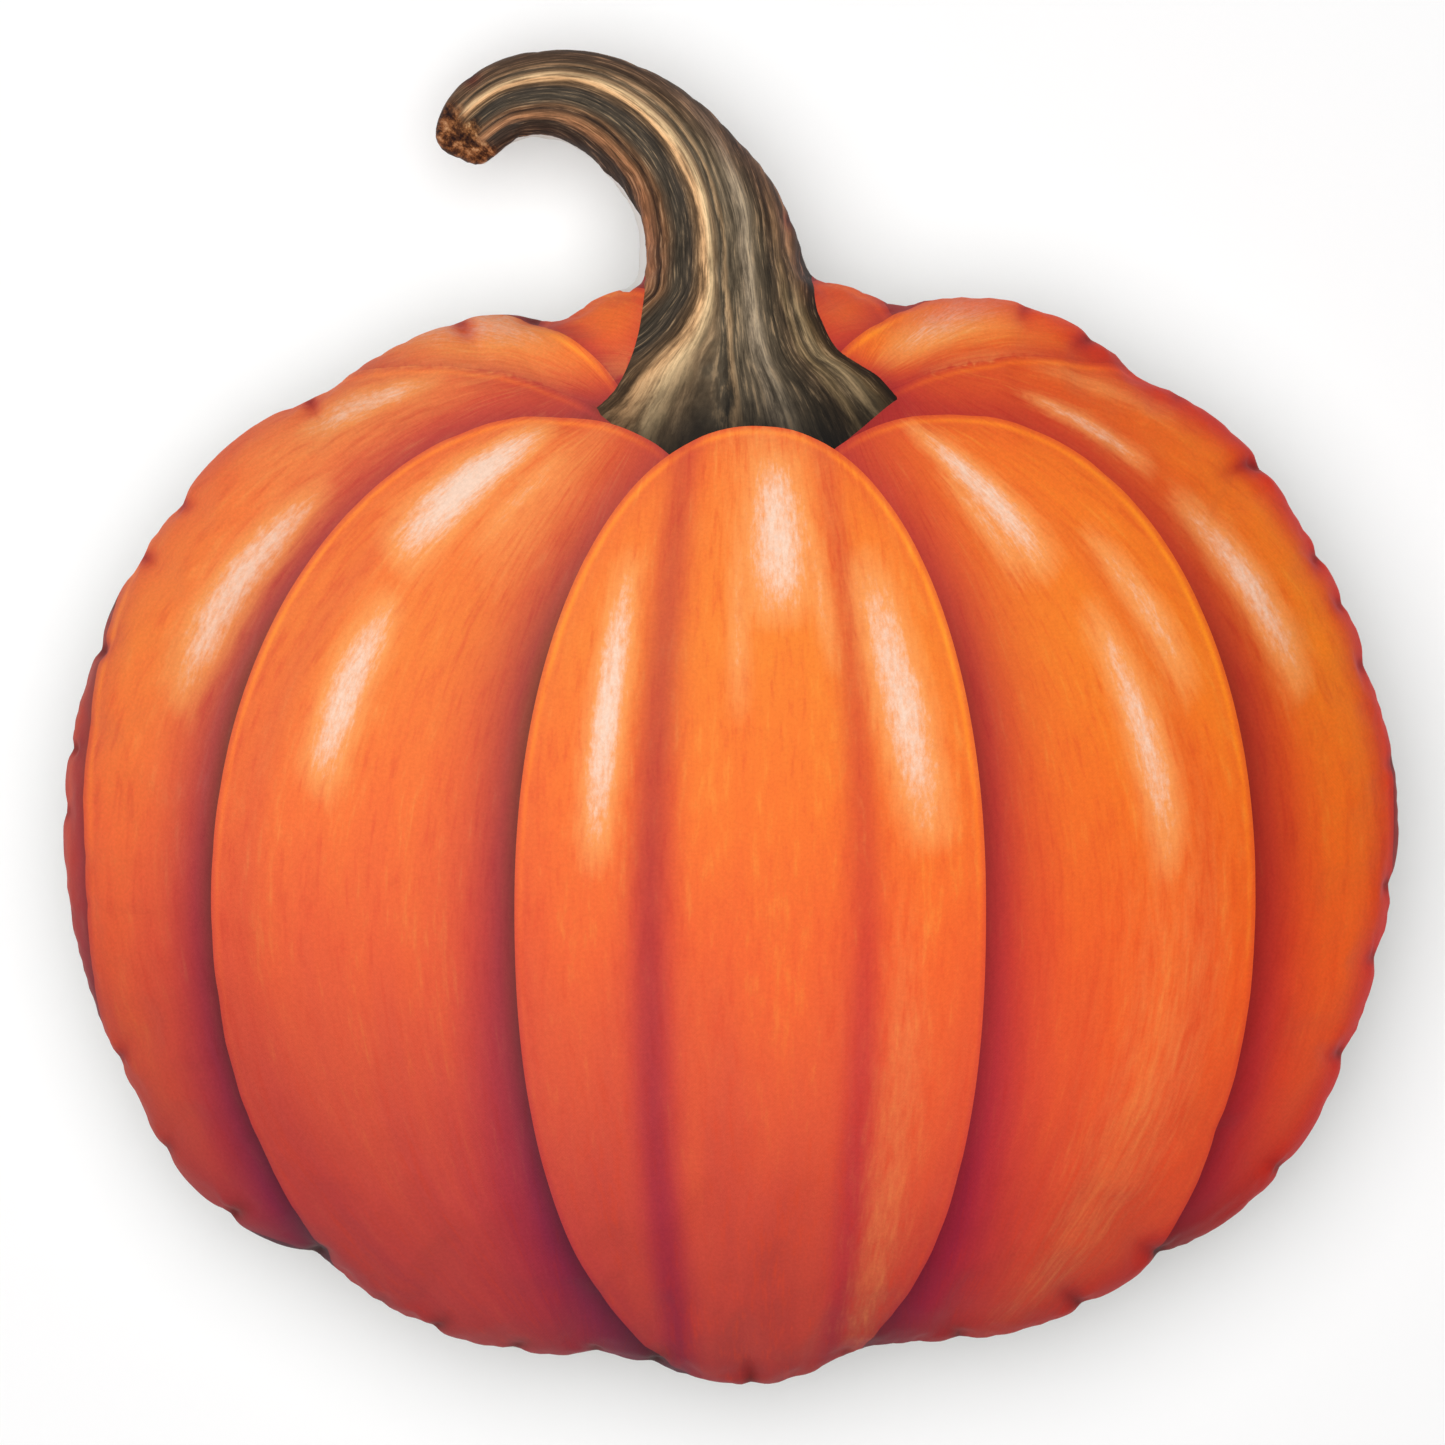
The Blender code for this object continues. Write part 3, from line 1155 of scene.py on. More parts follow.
class PrintedShapeEffect(SurfaceEffect):
    """One printed shape laid over what is printed already.

    Inside its outline the shape's own poles, number and tone replace what is there. Outside it
    darkens what it lies over: with q the distance over the shadow's reach, the light is
    1 - depth exp(-0.75 q - 0.25 q q).
    """

    name = "printed_shape"
    takes = {
        "Top": "Vector",
        "Bottom": "Vector",
        "Outside": "Float",
        "Light": "Float",
        "Distance": "Float",
        "Own Top": "Vector",
        "Own Bottom": "Vector",
        "Shadow Reach": "Float",
        "Shadow Depth": "Float",
        "Shadow Share": "Float",
    }
    gives = {"Top": "Vector", "Bottom": "Vector", "Outside": "Float", "Light": "Float"}

    def draw(self, sheet: Sheet, given: dict[str, Term]) -> dict[str, Term]:
        """Writes the shape's formulas; see the base class."""
        distance = given["Distance"]
        inside = distance.sum("LESS_THAN", 0.0)
        far = distance.sum("MAXIMUM", 0.0) / given["Shadow Reach"]
        fade = (far * (far * -0.25 - 0.75)).sum("EXPONENT")
        depth = given["Shadow Depth"] * given["Shadow Share"]
        light = given["Light"] * (depth * fade).from_one()
        return {
            "Top": sheet.choose(inside, given["Top"], given["Own Top"]),
            "Bottom": sheet.choose(inside, given["Bottom"], given["Own Bottom"]),
            "Outside": given["Outside"] + (distance - given["Outside"]) * inside,
            "Light": light + light.from_one() * inside,
        }


class ArcStrokesEffect(SurfaceEffect):
    """Where a place lies on the brush strokes between a rib's two poles.

    The bearing is the angle between the way from the top pole to the place and the way from the
    place to the bottom pole. It is the same all along a circle arc through both poles. The run is
    the distance from the top pole.
    """

    name = "arc_strokes"
    takes = {"Place": "Vector", "Top": "Vector", "Bottom": "Vector"}
    gives = {"Bearing": "Float", "Run": "Float"}

    def draw(self, sheet: Sheet, given: dict[str, Term]) -> dict[str, Term]:
        """Writes the strokes' formulas; see the base class."""
        flat = (1.0, 1.0, 0.0)
        from_top = sheet.vector_sum("SUBTRACT", given["Place"], given["Top"])
        from_top = sheet.vector_sum("MULTIPLY", from_top, flat)
        to_bottom = sheet.vector_sum("SUBTRACT", given["Bottom"], given["Place"])
        to_bottom = sheet.vector_sum("MULTIPLY", to_bottom, flat)
        _, _, turn = sheet.parts(sheet.vector_sum("CROSS_PRODUCT", from_top, to_bottom))
        ahead = sheet.vector_sum("DOT_PRODUCT", from_top, to_bottom, "Value")
        bearing = turn.sum("ARCTAN2", ahead) * math.degrees(1.0)
        return {
            "Bearing": bearing,
            "Run": sheet.vector_sum("LENGTH", from_top, (0.0, 0.0, 0.0), "Value"),
        }


class ClothSurfaceEffect(SurfaceEffect):
    """The height of fine woven cloth, for the bump.

    Two sets of threads cross in the panel's plane: each is a row of round humps, and each thread
    goes over and under the next. A soft noise makes the threads uneven.
    """

    name = "woven_cloth"
    takes = {"Place": "Vector", "Thread": "Float"}
    gives = {"Height": "Float", "Mottle": "Float"}

    def draw(self, sheet: Sheet, given: dict[str, Term]) -> dict[str, Term]:
        """Writes the cloth's formulas; see the base class."""
        x, y, _ = sheet.parts(given["Place"])
        warp = (x / given["Thread"] * math.pi).sum("SINE")
        weft = (y / given["Thread"] * math.pi).sum("SINE")
        humps = warp * weft
        uneven = sheet.noise(given["Place"], 0.9, 2.0, 0.6)
        return {"Height": humps * 0.35 + uneven, "Mottle": uneven}


@dataclass(frozen=True)
class Band:
    """A highlight or a furrow along the strokes of one rib.

    Attributes:
        bearing: where it lies across the rib, in degrees.
        half_width: half its width, in degrees.
        start: where it begins, in mm from the rib's top pole.
        end: where it ends.
        strength: how strong it is at its middle.
        drift: how far its bearing changes from start to end.
    """

    bearing: float
    half_width: float
    start: float
    end: float
    strength: float
    drift: float = 0.0

    def amount(self, bearing: Array, run: Array) -> Array:
        """How strong the band is at each place.

        Across the rib it is a bell curve round the band's bearing. Along the rib it is
        (4 t (1 - t))^0.7, with t the share of the way from its start to its end.

        Args:
            bearing: where the places lie across the rib, in degrees.
            run: how far they lie from its top pole, in mm.

        Returns:
            The strengths.
        """
        share = (run - self.start) / (self.end - self.start)
        middle = self.bearing + self.drift * (share - 0.5)
        across = np.exp(-(((bearing - middle) / self.half_width) ** 2))
        return self.strength * across * np.clip(4.0 * share * (1.0 - share), 0.0, 1.0) ** 0.7


@dataclass(frozen=True)
class Rib:
    """A rib of the printed pumpkin, in mm in the plane of the panel.

    Attributes:
        centre: the middle of its outline.
        half_size: half its width and half its height.
        top_pole: where its strokes meet above.
        bottom_pole: where its strokes meet below.
        tone: how light it is, 1 for the nearest rib.
        reach: how far its shadow falls on what lies behind it.
        depth: how dark that shadow is at its edge.
        fullness: how square its outline is above and below, 2 for an ellipse.
        bend: how far its upper and lower ends lie to the right of its middle.
        glows: its highlights.
        furrows: its own shallow grooves.
    """

    centre: tuple[float, float]
    half_size: tuple[float, float]
    top_pole: tuple[float, float]
    bottom_pole: tuple[float, float]
    tone: float = 1.0
    reach: float = 10.0
    depth: float = 0.72
    fullness: tuple[float, float] = (2.2, 2.7)
    bend: float = 0.0
    glows: tuple[Band, ...] = ()
    furrows: tuple[Band, ...] = ()

    def outside(self, plan: Array) -> Array:
        """How far outside the rib's outline each place lies.

        The outline is the superellipse |x / a|^n + |y / b|^n = 1, with x measured from a middle line
        that curves away by the bend times (y / b)^2. With d the n-th root of that sum, the distance
        is close to (d - 1) d over the length of (x / (a a), y / (b b)).

        Args:
            plan: places on the panel in mm.

        Returns:
            The distances in mm, negative inside.
        """
        size = np.array(self.half_size)
        away = plan - self.centre
        away[:, 0] -= self.bend * (away[:, 1] / size[1]) ** 2
        away /= size
        full = np.where(away[:, 1] > 0.0, *self.fullness)
        across = (np.abs(away[:, 0]) ** full + np.abs(away[:, 1]) ** full) ** (1.0 / full)
        return (across - 1.0) * across / np.maximum(np.linalg.norm(away / size, axis=1), 1e-4)

    def strokes(self, plan: Array) -> tuple[Array, Array]:
        """Where places lie on the rib's strokes, as arc_strokes works it out in the shader.

        Args:
            plan: places on the panel in mm.

        Returns:
            The bearings in degrees and the runs in mm.
        """
        (ax, ay), (bx, by) = (plan - self.top_pole).T, (np.array(self.bottom_pole) - plan).T
        bearing = np.degrees(np.arctan2(ax * by - ay * bx, ax * bx + ay * by))
        return bearing, np.hypot(ax, ay)


@dataclass(frozen=True)
class PumpkinPrint:
    """The printed pumpkin: its shapes from back to front.

    Attributes:
        far_ribs: the ribs behind the stem.
        near_ribs: the ribs before the stem's foot.
        stem: the stem's centre line.
        stem_reach: how far the stem's shadow falls, in mm.
        stem_depth: how dark that shadow is.
        foot_middle: where the stem's foot reaches lowest, across the panel in mm.
        foot_height: how far up the panel that is.
        foot_slope: how steeply the foot's lower edge rises to both sides.
    """

    far_ribs: tuple[Rib, ...]
    near_ribs: tuple[Rib, ...]
    stem: StemLine = StemLine()
    stem_reach: float = 7.0
    stem_depth: float = 0.5
    foot_middle: float = 3.0
    foot_height: float = 62.0
    foot_slope: float = 0.85

    def mark(self, mesh: bpy.types.Mesh, plan: Array) -> None:
        """Stores on the mesh's points what the print's material reads.

        These are smooth fields: how far outside each shape a point lies, its place on the stem, and
        how strong the highlights and furrows of the rib on top are there. The stem ends below at
        two straight lines that rise to its left and right.

        Args:
            mesh: the cover's mesh.
            plan: its points' places in the print, in metres.
        """
        place = plan / MM
        on_stem = self.stem.coordinates(plan)
        stem_gap = (np.abs(on_stem[:, 0]) - 1.0) * on_stem[:, 2] / MM
        foot = self.foot_height + self.foot_slope * np.abs(place[:, 0] - self.foot_middle)
        stem_gap = np.maximum(stem_gap, (foot - place[:, 1]) / math.hypot(1.0, self.foot_slope))
        far = [rib.outside(place) for rib in self.far_ribs]
        near = [rib.outside(place) for rib in self.near_ribs]
        gaps = np.stack((*far, stem_gap, *near), axis=1)
        on_top = gaps.shape[1] - 1 - (gaps[:, ::-1] < 0.0).argmax(axis=1)
        glow, furrow = np.zeros(len(plan)), np.zeros(len(plan))
        numbers = (*range(len(far)), *range(len(far) + 1, gaps.shape[1]))
        for number, rib in zip(numbers, (*self.far_ribs, *self.near_ribs)):
            here = np.flatnonzero(on_top == number)
            bearing, run = rib.strokes(place[here])
            for field_values, bands in ((glow, rib.glows), (furrow, rib.furrows)):
                for band in bands:
                    field_values[here] = np.maximum(field_values[here], band.amount(bearing, run))
        for first in range(0, gaps.shape[1], 3):
            store(mesh, f"gaps_{first // 3}", gaps[:, first : first + 3])
        store(mesh, "on_stem", on_stem)
        # The third value of brushed is filled later with the painted shade of the gathers' folds.
        store(mesh, "strokes_and_fold_shade", np.stack((glow, furrow, np.zeros(len(plan))), axis=1))

    def lay(self, sheet: Sheet, height: Term) -> dict[str, Term]:
        """Lays the shapes over each other, the farthest first.

        Args:
            sheet: the material's node tree.
            height: the place up the panel in mm.

        Returns:
            Top and Bottom, the poles of the shape on top with its number and tone as third values,
            Outside, the distance outside its outline, and Light, what the shadows leave.
        """
        stem = Rib((0.0, 0.0), (1.0, 1.0), (0.0, 0.0), (0.0, 0.0), 1.0, self.stem_reach, self.stem_depth)
        shapes = (*self.far_ribs, stem, *self.near_ribs)
        share = sheet.ease(height, 0.0, 85.0, 1.0, 0.62)
        state: dict[str, object] = {
            "Top": (0.0, 100.0, -1.0),
            "Bottom": (0.0, -200.0, 0.9),
            "Outside": 0.0,
            "Light": 1.0,
        }
        for number, shape in enumerate(shapes):
            if number % 3 == 0:
                gaps = sheet.add("ShaderNodeAttribute", {}, attribute_name=f"gaps_{number // 3}")
                distances = sheet.parts(sheet.term(gaps, "Vector"))
            state = PrintedShapeEffect().use(
                sheet,
                **state,
                Distance=distances[number % 3],
                Own_Top=(*shape.top_pole, float(number)),
                Own_Bottom=(*shape.bottom_pole, shape.tone),
                Shadow_Reach=shape.reach,
                Shadow_Depth=shape.depth,
                Shadow_Share=share,
            )
        return state


PUMPKIN = PumpkinPrint(
    far_ribs=(
        Rib((-36.0, 104.0), (40.0, 42.0), (-12.0, 108.0), (-75.0, 70.0), 1.24, 5.0, 0.6,
            glows=(Band(75.0, 18.0, 8.0, 40.0, 0.4),)),
        Rib((32.1, 109.7), (30.8, 39.0), (14.0, 108.0), (75.0, 70.0), 1.16, 5.0, 0.6),
        Rib((-86.5, 84.1), (55.0, 52.3), (-34.0, 100.0), (-170.0, 50.0), 1.36, 7.0, 0.7,
            glows=(Band(78.0, 13.0, 30.0, 104.0, 0.76), Band(66.0, 28.0, 16.0, 116.0, 0.42))),
        Rib((86.8, 89.2), (62.0, 53.7), (40.0, 104.0), (190.0, 50.0), 1.28, 7.0, 0.7,
            glows=(Band(-80.0, 14.0, 16.0, 80.0, 0.7), Band(-52.0, 10.0, 25.0, 75.0, 0.4))),
        Rib((-147.3, -39.0), (80.0, 112.8), (-60.0, 118.0), (-75.0, -225.0), 1.12),
        Rib((150.1, -39.0), (77.2, 112.8), (60.0, 122.0), (85.0, -225.0), 1.0),
        Rib((-102.9, -32.8), (116.9, 152.4), (-40.0, 118.0), (-75.0, -225.0), 1.0, 8.0, 0.7,
            glows=(
                Band(79.0, 4.2, 100.0, 192.0, 0.95),
                Band(91.0, 4.4, 52.0, 116.0, 0.75),
                Band(90.0, 13.0, 30.0, 140.0, 0.36),
            )),
        Rib((105.6, -35.5), (119.6, 157.9), (48.0, 122.0), (85.0, -225.0), 0.98, 8.0, 0.7,
            glows=(
                Band(-77.2, 3.2, 108.0, 190.0, 0.85),
                Band(-78.5, 2.6, 48.0, 106.0, 0.75),
                Band(-90.0, 3.0, 50.0, 110.0, 0.35),
            )),
    ),
    near_ribs=(
        Rib((-79.0, -64.0), (97.0, 166.0), (-20.0, 115.0), (-45.0, -235.0), 0.98, 13.0, 0.78,
            fullness=(2.15, 2.07), bend=18.0,
            glows=(
                Band(70.0, 7.0, 40.0, 118.0, 1.1),
                Band(56.0, 5.5, 34.0, 94.0, 0.55),
                Band(52.0, 14.0, 16.0, 100.0, 0.36),
                Band(65.0, 4.2, 116.0, 190.0, 0.95),
            ),
            furrows=(Band(74.0, 2.6, 60.0, 330.0, 0.25),)),
        Rib((83.2, -62.0), (94.2, 164.0), (34.0, 115.0), (60.0, -235.0), 0.97, 14.0, 0.78,
            fullness=(2.2, 2.15), bend=-9.0,
            glows=(
                Band(-57.5, 5.6, 26.0, 104.0, 0.95),
                Band(-51.0, 4.2, 45.0, 100.0, 0.6),
                Band(-70.0, 3.2, 96.0, 168.0, 0.62),
                Band(-60.2, 3.7, 112.0, 210.0, 0.8),
                Band(-61.0, 10.0, 160.0, 360.0, 0.2),
            ),
            furrows=(Band(-66.0, 2.6, 60.0, 300.0, 0.25),)),
        Rib((6.4, -65.3), (79.6, 163.0), (5.0, 200.0), (7.0, -330.0), 1.0, 13.5, 0.78,
            fullness=(2.1, 2.3), bend=2.0,
            glows=(
                Band(21.6, 2.9, 146.0, 262.0, 1.0, 2.0),
                Band(-5.6, 6.6, 106.0, 174.0, 0.95),
                Band(1.5, 2.2, 124.0, 208.0, 0.5),
                Band(-12.4, 2.0, 122.0, 192.0, 0.55, -3.0),
                Band(-23.6, 4.2, 146.0, 258.0, 0.92, -6.4),
                Band(-5.0, 11.0, 84.0, 160.0, 0.36),
                Band(-23.0, 4.6, 250.0, 480.0, 0.2),
            ),
            furrows=(Band(14.5, 3.2, 50.0, 520.0, 1.0, 3.6), Band(-17.0, 2.5, 50.0, 520.0, 0.68, -1.8))),
    ),
)
STALK = float(len(PUMPKIN.far_ribs))


@dataclass(frozen=True)
class PumpkinInks:
    """The colours of the printed ribs.

    Attributes:
        crest: the ribs' crests by height, in mm in the plane of the panel.
        deep: what the dark streaks go over to.
        warm: what the light streaks go over to.
        halo: the light orange round the highlights.
        glow: the highlights' colour.
    """

    crest: tuple[tuple[float, Dye], ...] = (
        (-235.0, Dye(174, 66, 66)),
        (-200.0, Dye(193, 72, 66)),
        (-165.0, Dye(210, 80, 66)),
        (-130.0, Dye(226, 91, 64)),
        (-80.0, Dye(242, 103, 58)),
        (-28.0, Dye(249, 120, 56)),
        (25.0, Dye(249, 134, 58)),
        (75.0, Dye(249, 128, 60)),
        (120.0, Dye(242, 112, 60)),
    )
    deep: Dye = Dye(222, 76, 50)
    warm: Dye = Dye(252, 160, 72)
    halo: Dye = Dye(251, 164, 94)
    glow: Dye = Dye(248, 224, 206)


@dataclass(frozen=True)
class StalkInks:
    """The printed stem's ridges.

    Attributes:
        ridges: the colours by twisted place across the stem.
        fibre: the colour of the thin light fibres along the ridges.
        shade: the colour of the stem's outer side where it curls over.
        twist: how far the ridges wind across it on their way to the tip, in half widths.
        twist_from: where along it the winding starts, in mm from its foot.
        twist_to: where the winding ends.
        splay: how far the ridges spread to the left at the foot, as a share of their places.
        shadow_power: to which power of the light the ribs' shadows darken the stem.
        tip: the colours of the cut end, by noise.
        tip_from: where the cut end begins.
    """

    ridges: tuple[tuple[float, Dye], ...] = (
        (-1.62, Dye(62, 52, 46)),
        (-1.50, Dye(112, 70, 46)),
        (-1.36, Dye(74, 60, 50)),
        (-1.10, Dye(70, 62, 54)),
        (-0.97, Dye(166, 122, 86)),
        (-0.84, Dye(64, 50, 42)),
        (-0.77, Dye(126, 94, 68)),
        (-0.72, Dye(94, 76, 60)),
        (-0.62, Dye(76, 68, 58)),
        (-0.46, Dye(70, 62, 54)),
        (-0.33, Dye(116, 90, 66)),
        (-0.27, Dye(212, 166, 120)),
        (-0.19, Dye(218, 186, 142)),
        (-0.13, Dye(132, 108, 82)),
        (-0.06, Dye(84, 76, 64)),
        (-0.01, Dye(166, 136, 102)),
        (0.03, Dye(98, 86, 70)),
        (0.14, Dye(112, 98, 80)),
        (0.22, Dye(138, 122, 102)),
        (0.29, Dye(164, 146, 122)),
        (0.35, Dye(112, 98, 80)),
        (0.46, Dye(76, 66, 54)),
        (0.58, Dye(90, 74, 58)),
        (0.66, Dye(134, 112, 82)),
        (0.72, Dye(80, 68, 54)),
        (0.79, Dye(160, 136, 102)),
        (0.86, Dye(104, 84, 60)),
        (0.94, Dye(64, 50, 40)),
        (1.00, Dye(50, 40, 34)),
    )
    fibre: Dye = Dye(204, 170, 130)
    shade: Dye = Dye(88, 72, 56)
    twist: float = 0.58
    twist_from: float = 80.0
    twist_to: float = 165.0
    splay: float = 0.62
    shadow_power: float = 1.9
    tip: tuple[tuple[float, Dye], ...] = (
        (0.38, Dye(44, 32, 26)),
        (0.48, Dye(88, 58, 40)),
        (0.57, Dye(150, 102, 64)),
        (0.70, Dye(214, 172, 124)),
    )
    tip_from: float = 203.0


@dataclass(frozen=True)
class PrintedCloth:
    """The face: smooth polyester with the pumpkin printed on it.

    Attributes:
        picture: the printed pumpkin.
        inks: the ribs' colours.
        stalk: the stem's colours.
        bare: the unprinted cloth's colour.
        margin: how wide the unprinted edge beside the seam is, in mm.
        stem_margin: how wide it is along the hollow side of the stem, in mm.
        rim_shade: how wide the painted shade beside the seam is, in mm.
        rim_shade_loss: how much of the red, green and blue that painted shade takes at its darkest.
        pucker_shade_depth: how dark the painted shade in the puckers is.
        thread: the threads' spacing, in mm.
        roughness: how dull the cloth is.
        gloss: how much light it mirrors.
    """

    picture: PumpkinPrint = PUMPKIN
    inks: PumpkinInks = PumpkinInks()
    stalk: StalkInks = StalkInks()
    bare: Dye = Dye(240, 238, 234)
    margin: float = 0.35
    stem_margin: float = 2.6
    rim_shade: float = 14.0
    rim_shade_loss: tuple[float, float, float] = (0.15, 0.95, 0.97)
    pucker_shade_depth: float = 0.58
    thread: float = 0.5
    roughness: float = 0.6
    gloss: float = 0.14

    def material(self) -> bpy.types.Material:
        """Makes the material."""
        material = bpy.data.materials.new("printed_face_cloth")
        material.use_nodes = True
        sheet = Sheet(material.node_tree)
        panel = sheet.add("ShaderNodeUVMap", {}, uv_map="panel")
        solid_place = sheet.term(sheet.add("ShaderNodeTexCoord", {}), "Object")
        height = sheet.parts(solid_place)[2]
        level = height * (1.0 / MM)
        enlarged = (height - PRINT_LEVEL) * (1.0 / PRINT_EYE) + 1.0
        x, y, _ = sheet.parts(sheet.scaled(sheet.term(panel, "UV"), enlarged * (1.0 / MM)))
        place = sheet.vector(x, y, level)
        across, along, _ = sheet.parts(self.read(sheet, "on_stem"))
        along = along * (1.0 / MM)
        glow, furrow, pucker = sheet.parts(self.read(sheet, "strokes_and_fold_shade"))

        state = self.picture.lay(sheet, y)
        ribs = self.rib_colour(sheet, place, state, glow, furrow)
        stalk = self.stalk_colour(sheet, across, along, level)
        stalk = sheet.scaled(stalk, state["Light"] ** self.stalk.shadow_power)
        number = sheet.parts(state["Top"])[2]
        printed = sheet.blend(number.sum("COMPARE", STALK, 0.4), ribs, stalk)
        weave = ClothSurfaceEffect().use(sheet, Place=place, Thread=self.thread)
        mottle = sheet.ease(weave["Mottle"], 0.2, 0.8, 0.94, 1.06)
        printed = sheet.scaled(printed, mottle)
        # Painted shade in the gathers' folds, from the third value of brushed, with green and blue fading
        # faster than red.
        printed = self.shaded(sheet, printed, (pucker * self.pucker_shade_depth).from_one())

        seam = sheet.term(sheet.add("ShaderNodeAttribute", {}, attribute_name="from_seam"), "Fac")
        # Painted shade beside the seam, stronger on the right: it takes down the green and blue, and a
        # little of the red.
        rim_shade = sheet.ease(seam * (1.0 / MM), self.rim_shade, 0.0) * sheet.ease(x, -60.0, 200.0, 0.22, 1.0)
        rim_shade_factor = sheet.vector(*[(rim_shade * loss).from_one() for loss in self.rim_shade_loss])
        printed = sheet.vector_sum("MULTIPLY", printed, rim_shade_factor)
        hollow = sheet.ease(across, -0.7, -0.9) * sheet.ease(along, 52.0, 60.0)
        hollow = hollow * sheet.ease(along, 196.0, 190.0) * sheet.ease(across, -1.35, -1.15)
        margin = hollow * (self.stem_margin - self.margin) + self.margin
        bare = (seam * (1.0 / MM)).sum("LESS_THAN", margin)
        colour = sheet.blend(bare, printed, self.bare.rgba)
        dress(sheet, colour, weave["Height"], self.roughness, self.gloss)
        return material

    @staticmethod
    def read(sheet: Sheet, name: str) -> Term:
        """A vector that the mesh's points carry."""
        return sheet.term(sheet.add("ShaderNodeAttribute", {}, attribute_name=name), "Vector")

    def rib_colour(
        self, sheet: Sheet, place: Term, state: dict[str, Term], glow: Term, furrow: Term
    ) -> Term:
        """The ribs' colour: crest colour, streaks, edges, furrows, shadows and highlights.

        A painted sheen makes the colour bluer to the left, and low down painted shade makes it darker
        on the left and painted light makes it lighter on the right.

        Args:
            sheet: the material's node tree.
            place: the place on the panel and the height over the floor, in mm.
            state: what PumpkinPrint.lay gives.
            glow: how strong the highlights are.
            furrow: how deep the furrows are.

        Returns:
            The colour.
        """
        strokes = ArcStrokesEffect().use(sheet, Place=place, Top=state["Top"], Bottom=state["Bottom"])
        bearing, run = strokes["Bearing"], strokes["Run"]
        x, height, level = sheet.parts(place)
        number = sheet.parts(state["Top"])[2]
        tone = sheet.parts(state["Bottom"])[2]
        outside = state["Outside"]
        wide = sheet.noise(
            sheet.vector(bearing * 0.16, run * 0.012 + number * 9.0, level * 0.02), 1.0, 2.0
        )
        fine = sheet.noise(
            sheet.vector(bearing * 0.85, run * 0.07 + number * 7.0, level * 0.12), 1.0, 4.0, 0.62
        )
        crest = sheet.ramp(height + (wide - 0.5) * 60.0, self.inks.crest)
        dark = sheet.ease(fine + (wide - 0.5) * 0.4, 0.52, 0.22, 0.0, 0.38)
        streaked = sheet.blend(dark, crest, self.inks.deep.rgba)
        bright = sheet.ease(fine + (wide - 0.5) * 0.6, 0.54, 0.84, 0.0, 0.40)
        bright = bright * sheet.ease(height, -190.0, 0.0)
        streaked = sheet.blend(bright, streaked, self.inks.warm.rgba)
        edge = (outside / 3.6).sum("EXPONENT") * 0.17
        lip = (outside + 2.0).bell() * sheet.ease(height, -120.0, 60.0, 0.05, 0.2)
        light = (edge.from_one() + lip) * (furrow * 0.42).from_one() * tone * state["Light"]
        body = self.in_groove(sheet, streaked, light, sheet.ease(x, -60.0, 60.0))
        # Painted sheen: the blue is raised towards the left and lowered towards the right.
        painted_sheen_blue = sheet.ease(x, 230.0, -230.0, 0.32, 1.45)
        # Painted light and shade low down: lit darkens the left side and lightens the right.
        lit = x * 0.0011 * sheet.ease(height, -20.0, -150.0) + 1.0
        body = sheet.vector_sum("MULTIPLY", body, sheet.vector(lit, lit, painted_sheen_blue * lit * lit))
        fuzz = sheet.noise(
            sheet.vector(bearing * 1.5, run * 0.26 + number * 5.0, level * 0.3), 1.0, 3.0, 0.7
        )
        halo = sheet.ease(glow + (fine - 0.5) * 0.4, 0.02, 0.62, 0.0, 0.8) * state["Light"]
        body = sheet.blend(halo, body, self.inks.halo.rgba)
        core = sheet.ease(glow + (fuzz - 0.5) * 0.7 + (fine - 0.5) * 0.4, 0.45, 1.1, 0.0, 0.8)
        core = core * state["Light"]
        return sheet.blend(core, body, self.inks.glow.rgba)

    def stalk_colour(self, sheet: Sheet, across: Term, along: Term, level: Term) -> Term:
        """The printed stem's colour: ridges that wind along it, streaks, and a cut end.

        Args:
            sheet: the material's node tree.
            across: the place across the stem.
            along: the place along it in mm.
            level: the height over the floor in mm.

        Returns:
            The colour.
        """
        stalk = self.stalk
        splay = sheet.ease(along, 84.0, 48.0, 0.0, stalk.splay) * sheet.ease(across, 0.1, -0.3)
        wound = across * splay.from_one()
        wound = wound - sheet.ease(along, stalk.twist_from, stalk.twist_to, 0.0, stalk.twist)
        waver = sheet.noise(sheet.vector(wound * 2.5, along * 0.03, level * 0.02), 1.0, 3.0, 0.6)
        hairs = sheet.noise(sheet.vector(wound * 22.0, along * 0.07, level * 0.1), 1.0, 4.0, 0.68)
        ridge = sheet.ramp(wound + (waver - 0.5) * 0.14 + (hairs - 0.5) * 0.12, stalk.ridges)
        outer = sheet.ease(wound, 0.0, 0.08) * sheet.ease(along, 105.0, 150.0)
        ridge = sheet.blend(outer, ridge, stalk.shade.rgba)
        threads = sheet.noise(sheet.vector(wound * 52.0, along * 0.055, level * 0.1), 1.0, 3.0, 0.7)
        lightness = sheet.ease(hairs, 0.30, 0.68, 0.5, 1.5) * sheet.ease(threads, 0.32, 0.6, 0.64, 1.18)
        streaked = sheet.scaled(ridge, lightness)
        light = sheet.ease(threads + (hairs - 0.5) * 0.7, 0.56, 0.76, 0.0, 0.5)
        streaked = sheet.blend(light, streaked, stalk.fibre.rgba)
        blots = sheet.noise(sheet.vector(across * 3.4, along * 0.30, 0.0), 1.0, 4.0, 0.72)
        cut = sheet.ramp(blots, stalk.tip)
        at_tip = sheet.ease(along + (waver - 0.5) * 16.0, stalk.tip_from - 3.0, stalk.tip_from + 3.0)
        return sheet.blend(at_tip, streaked, cut)

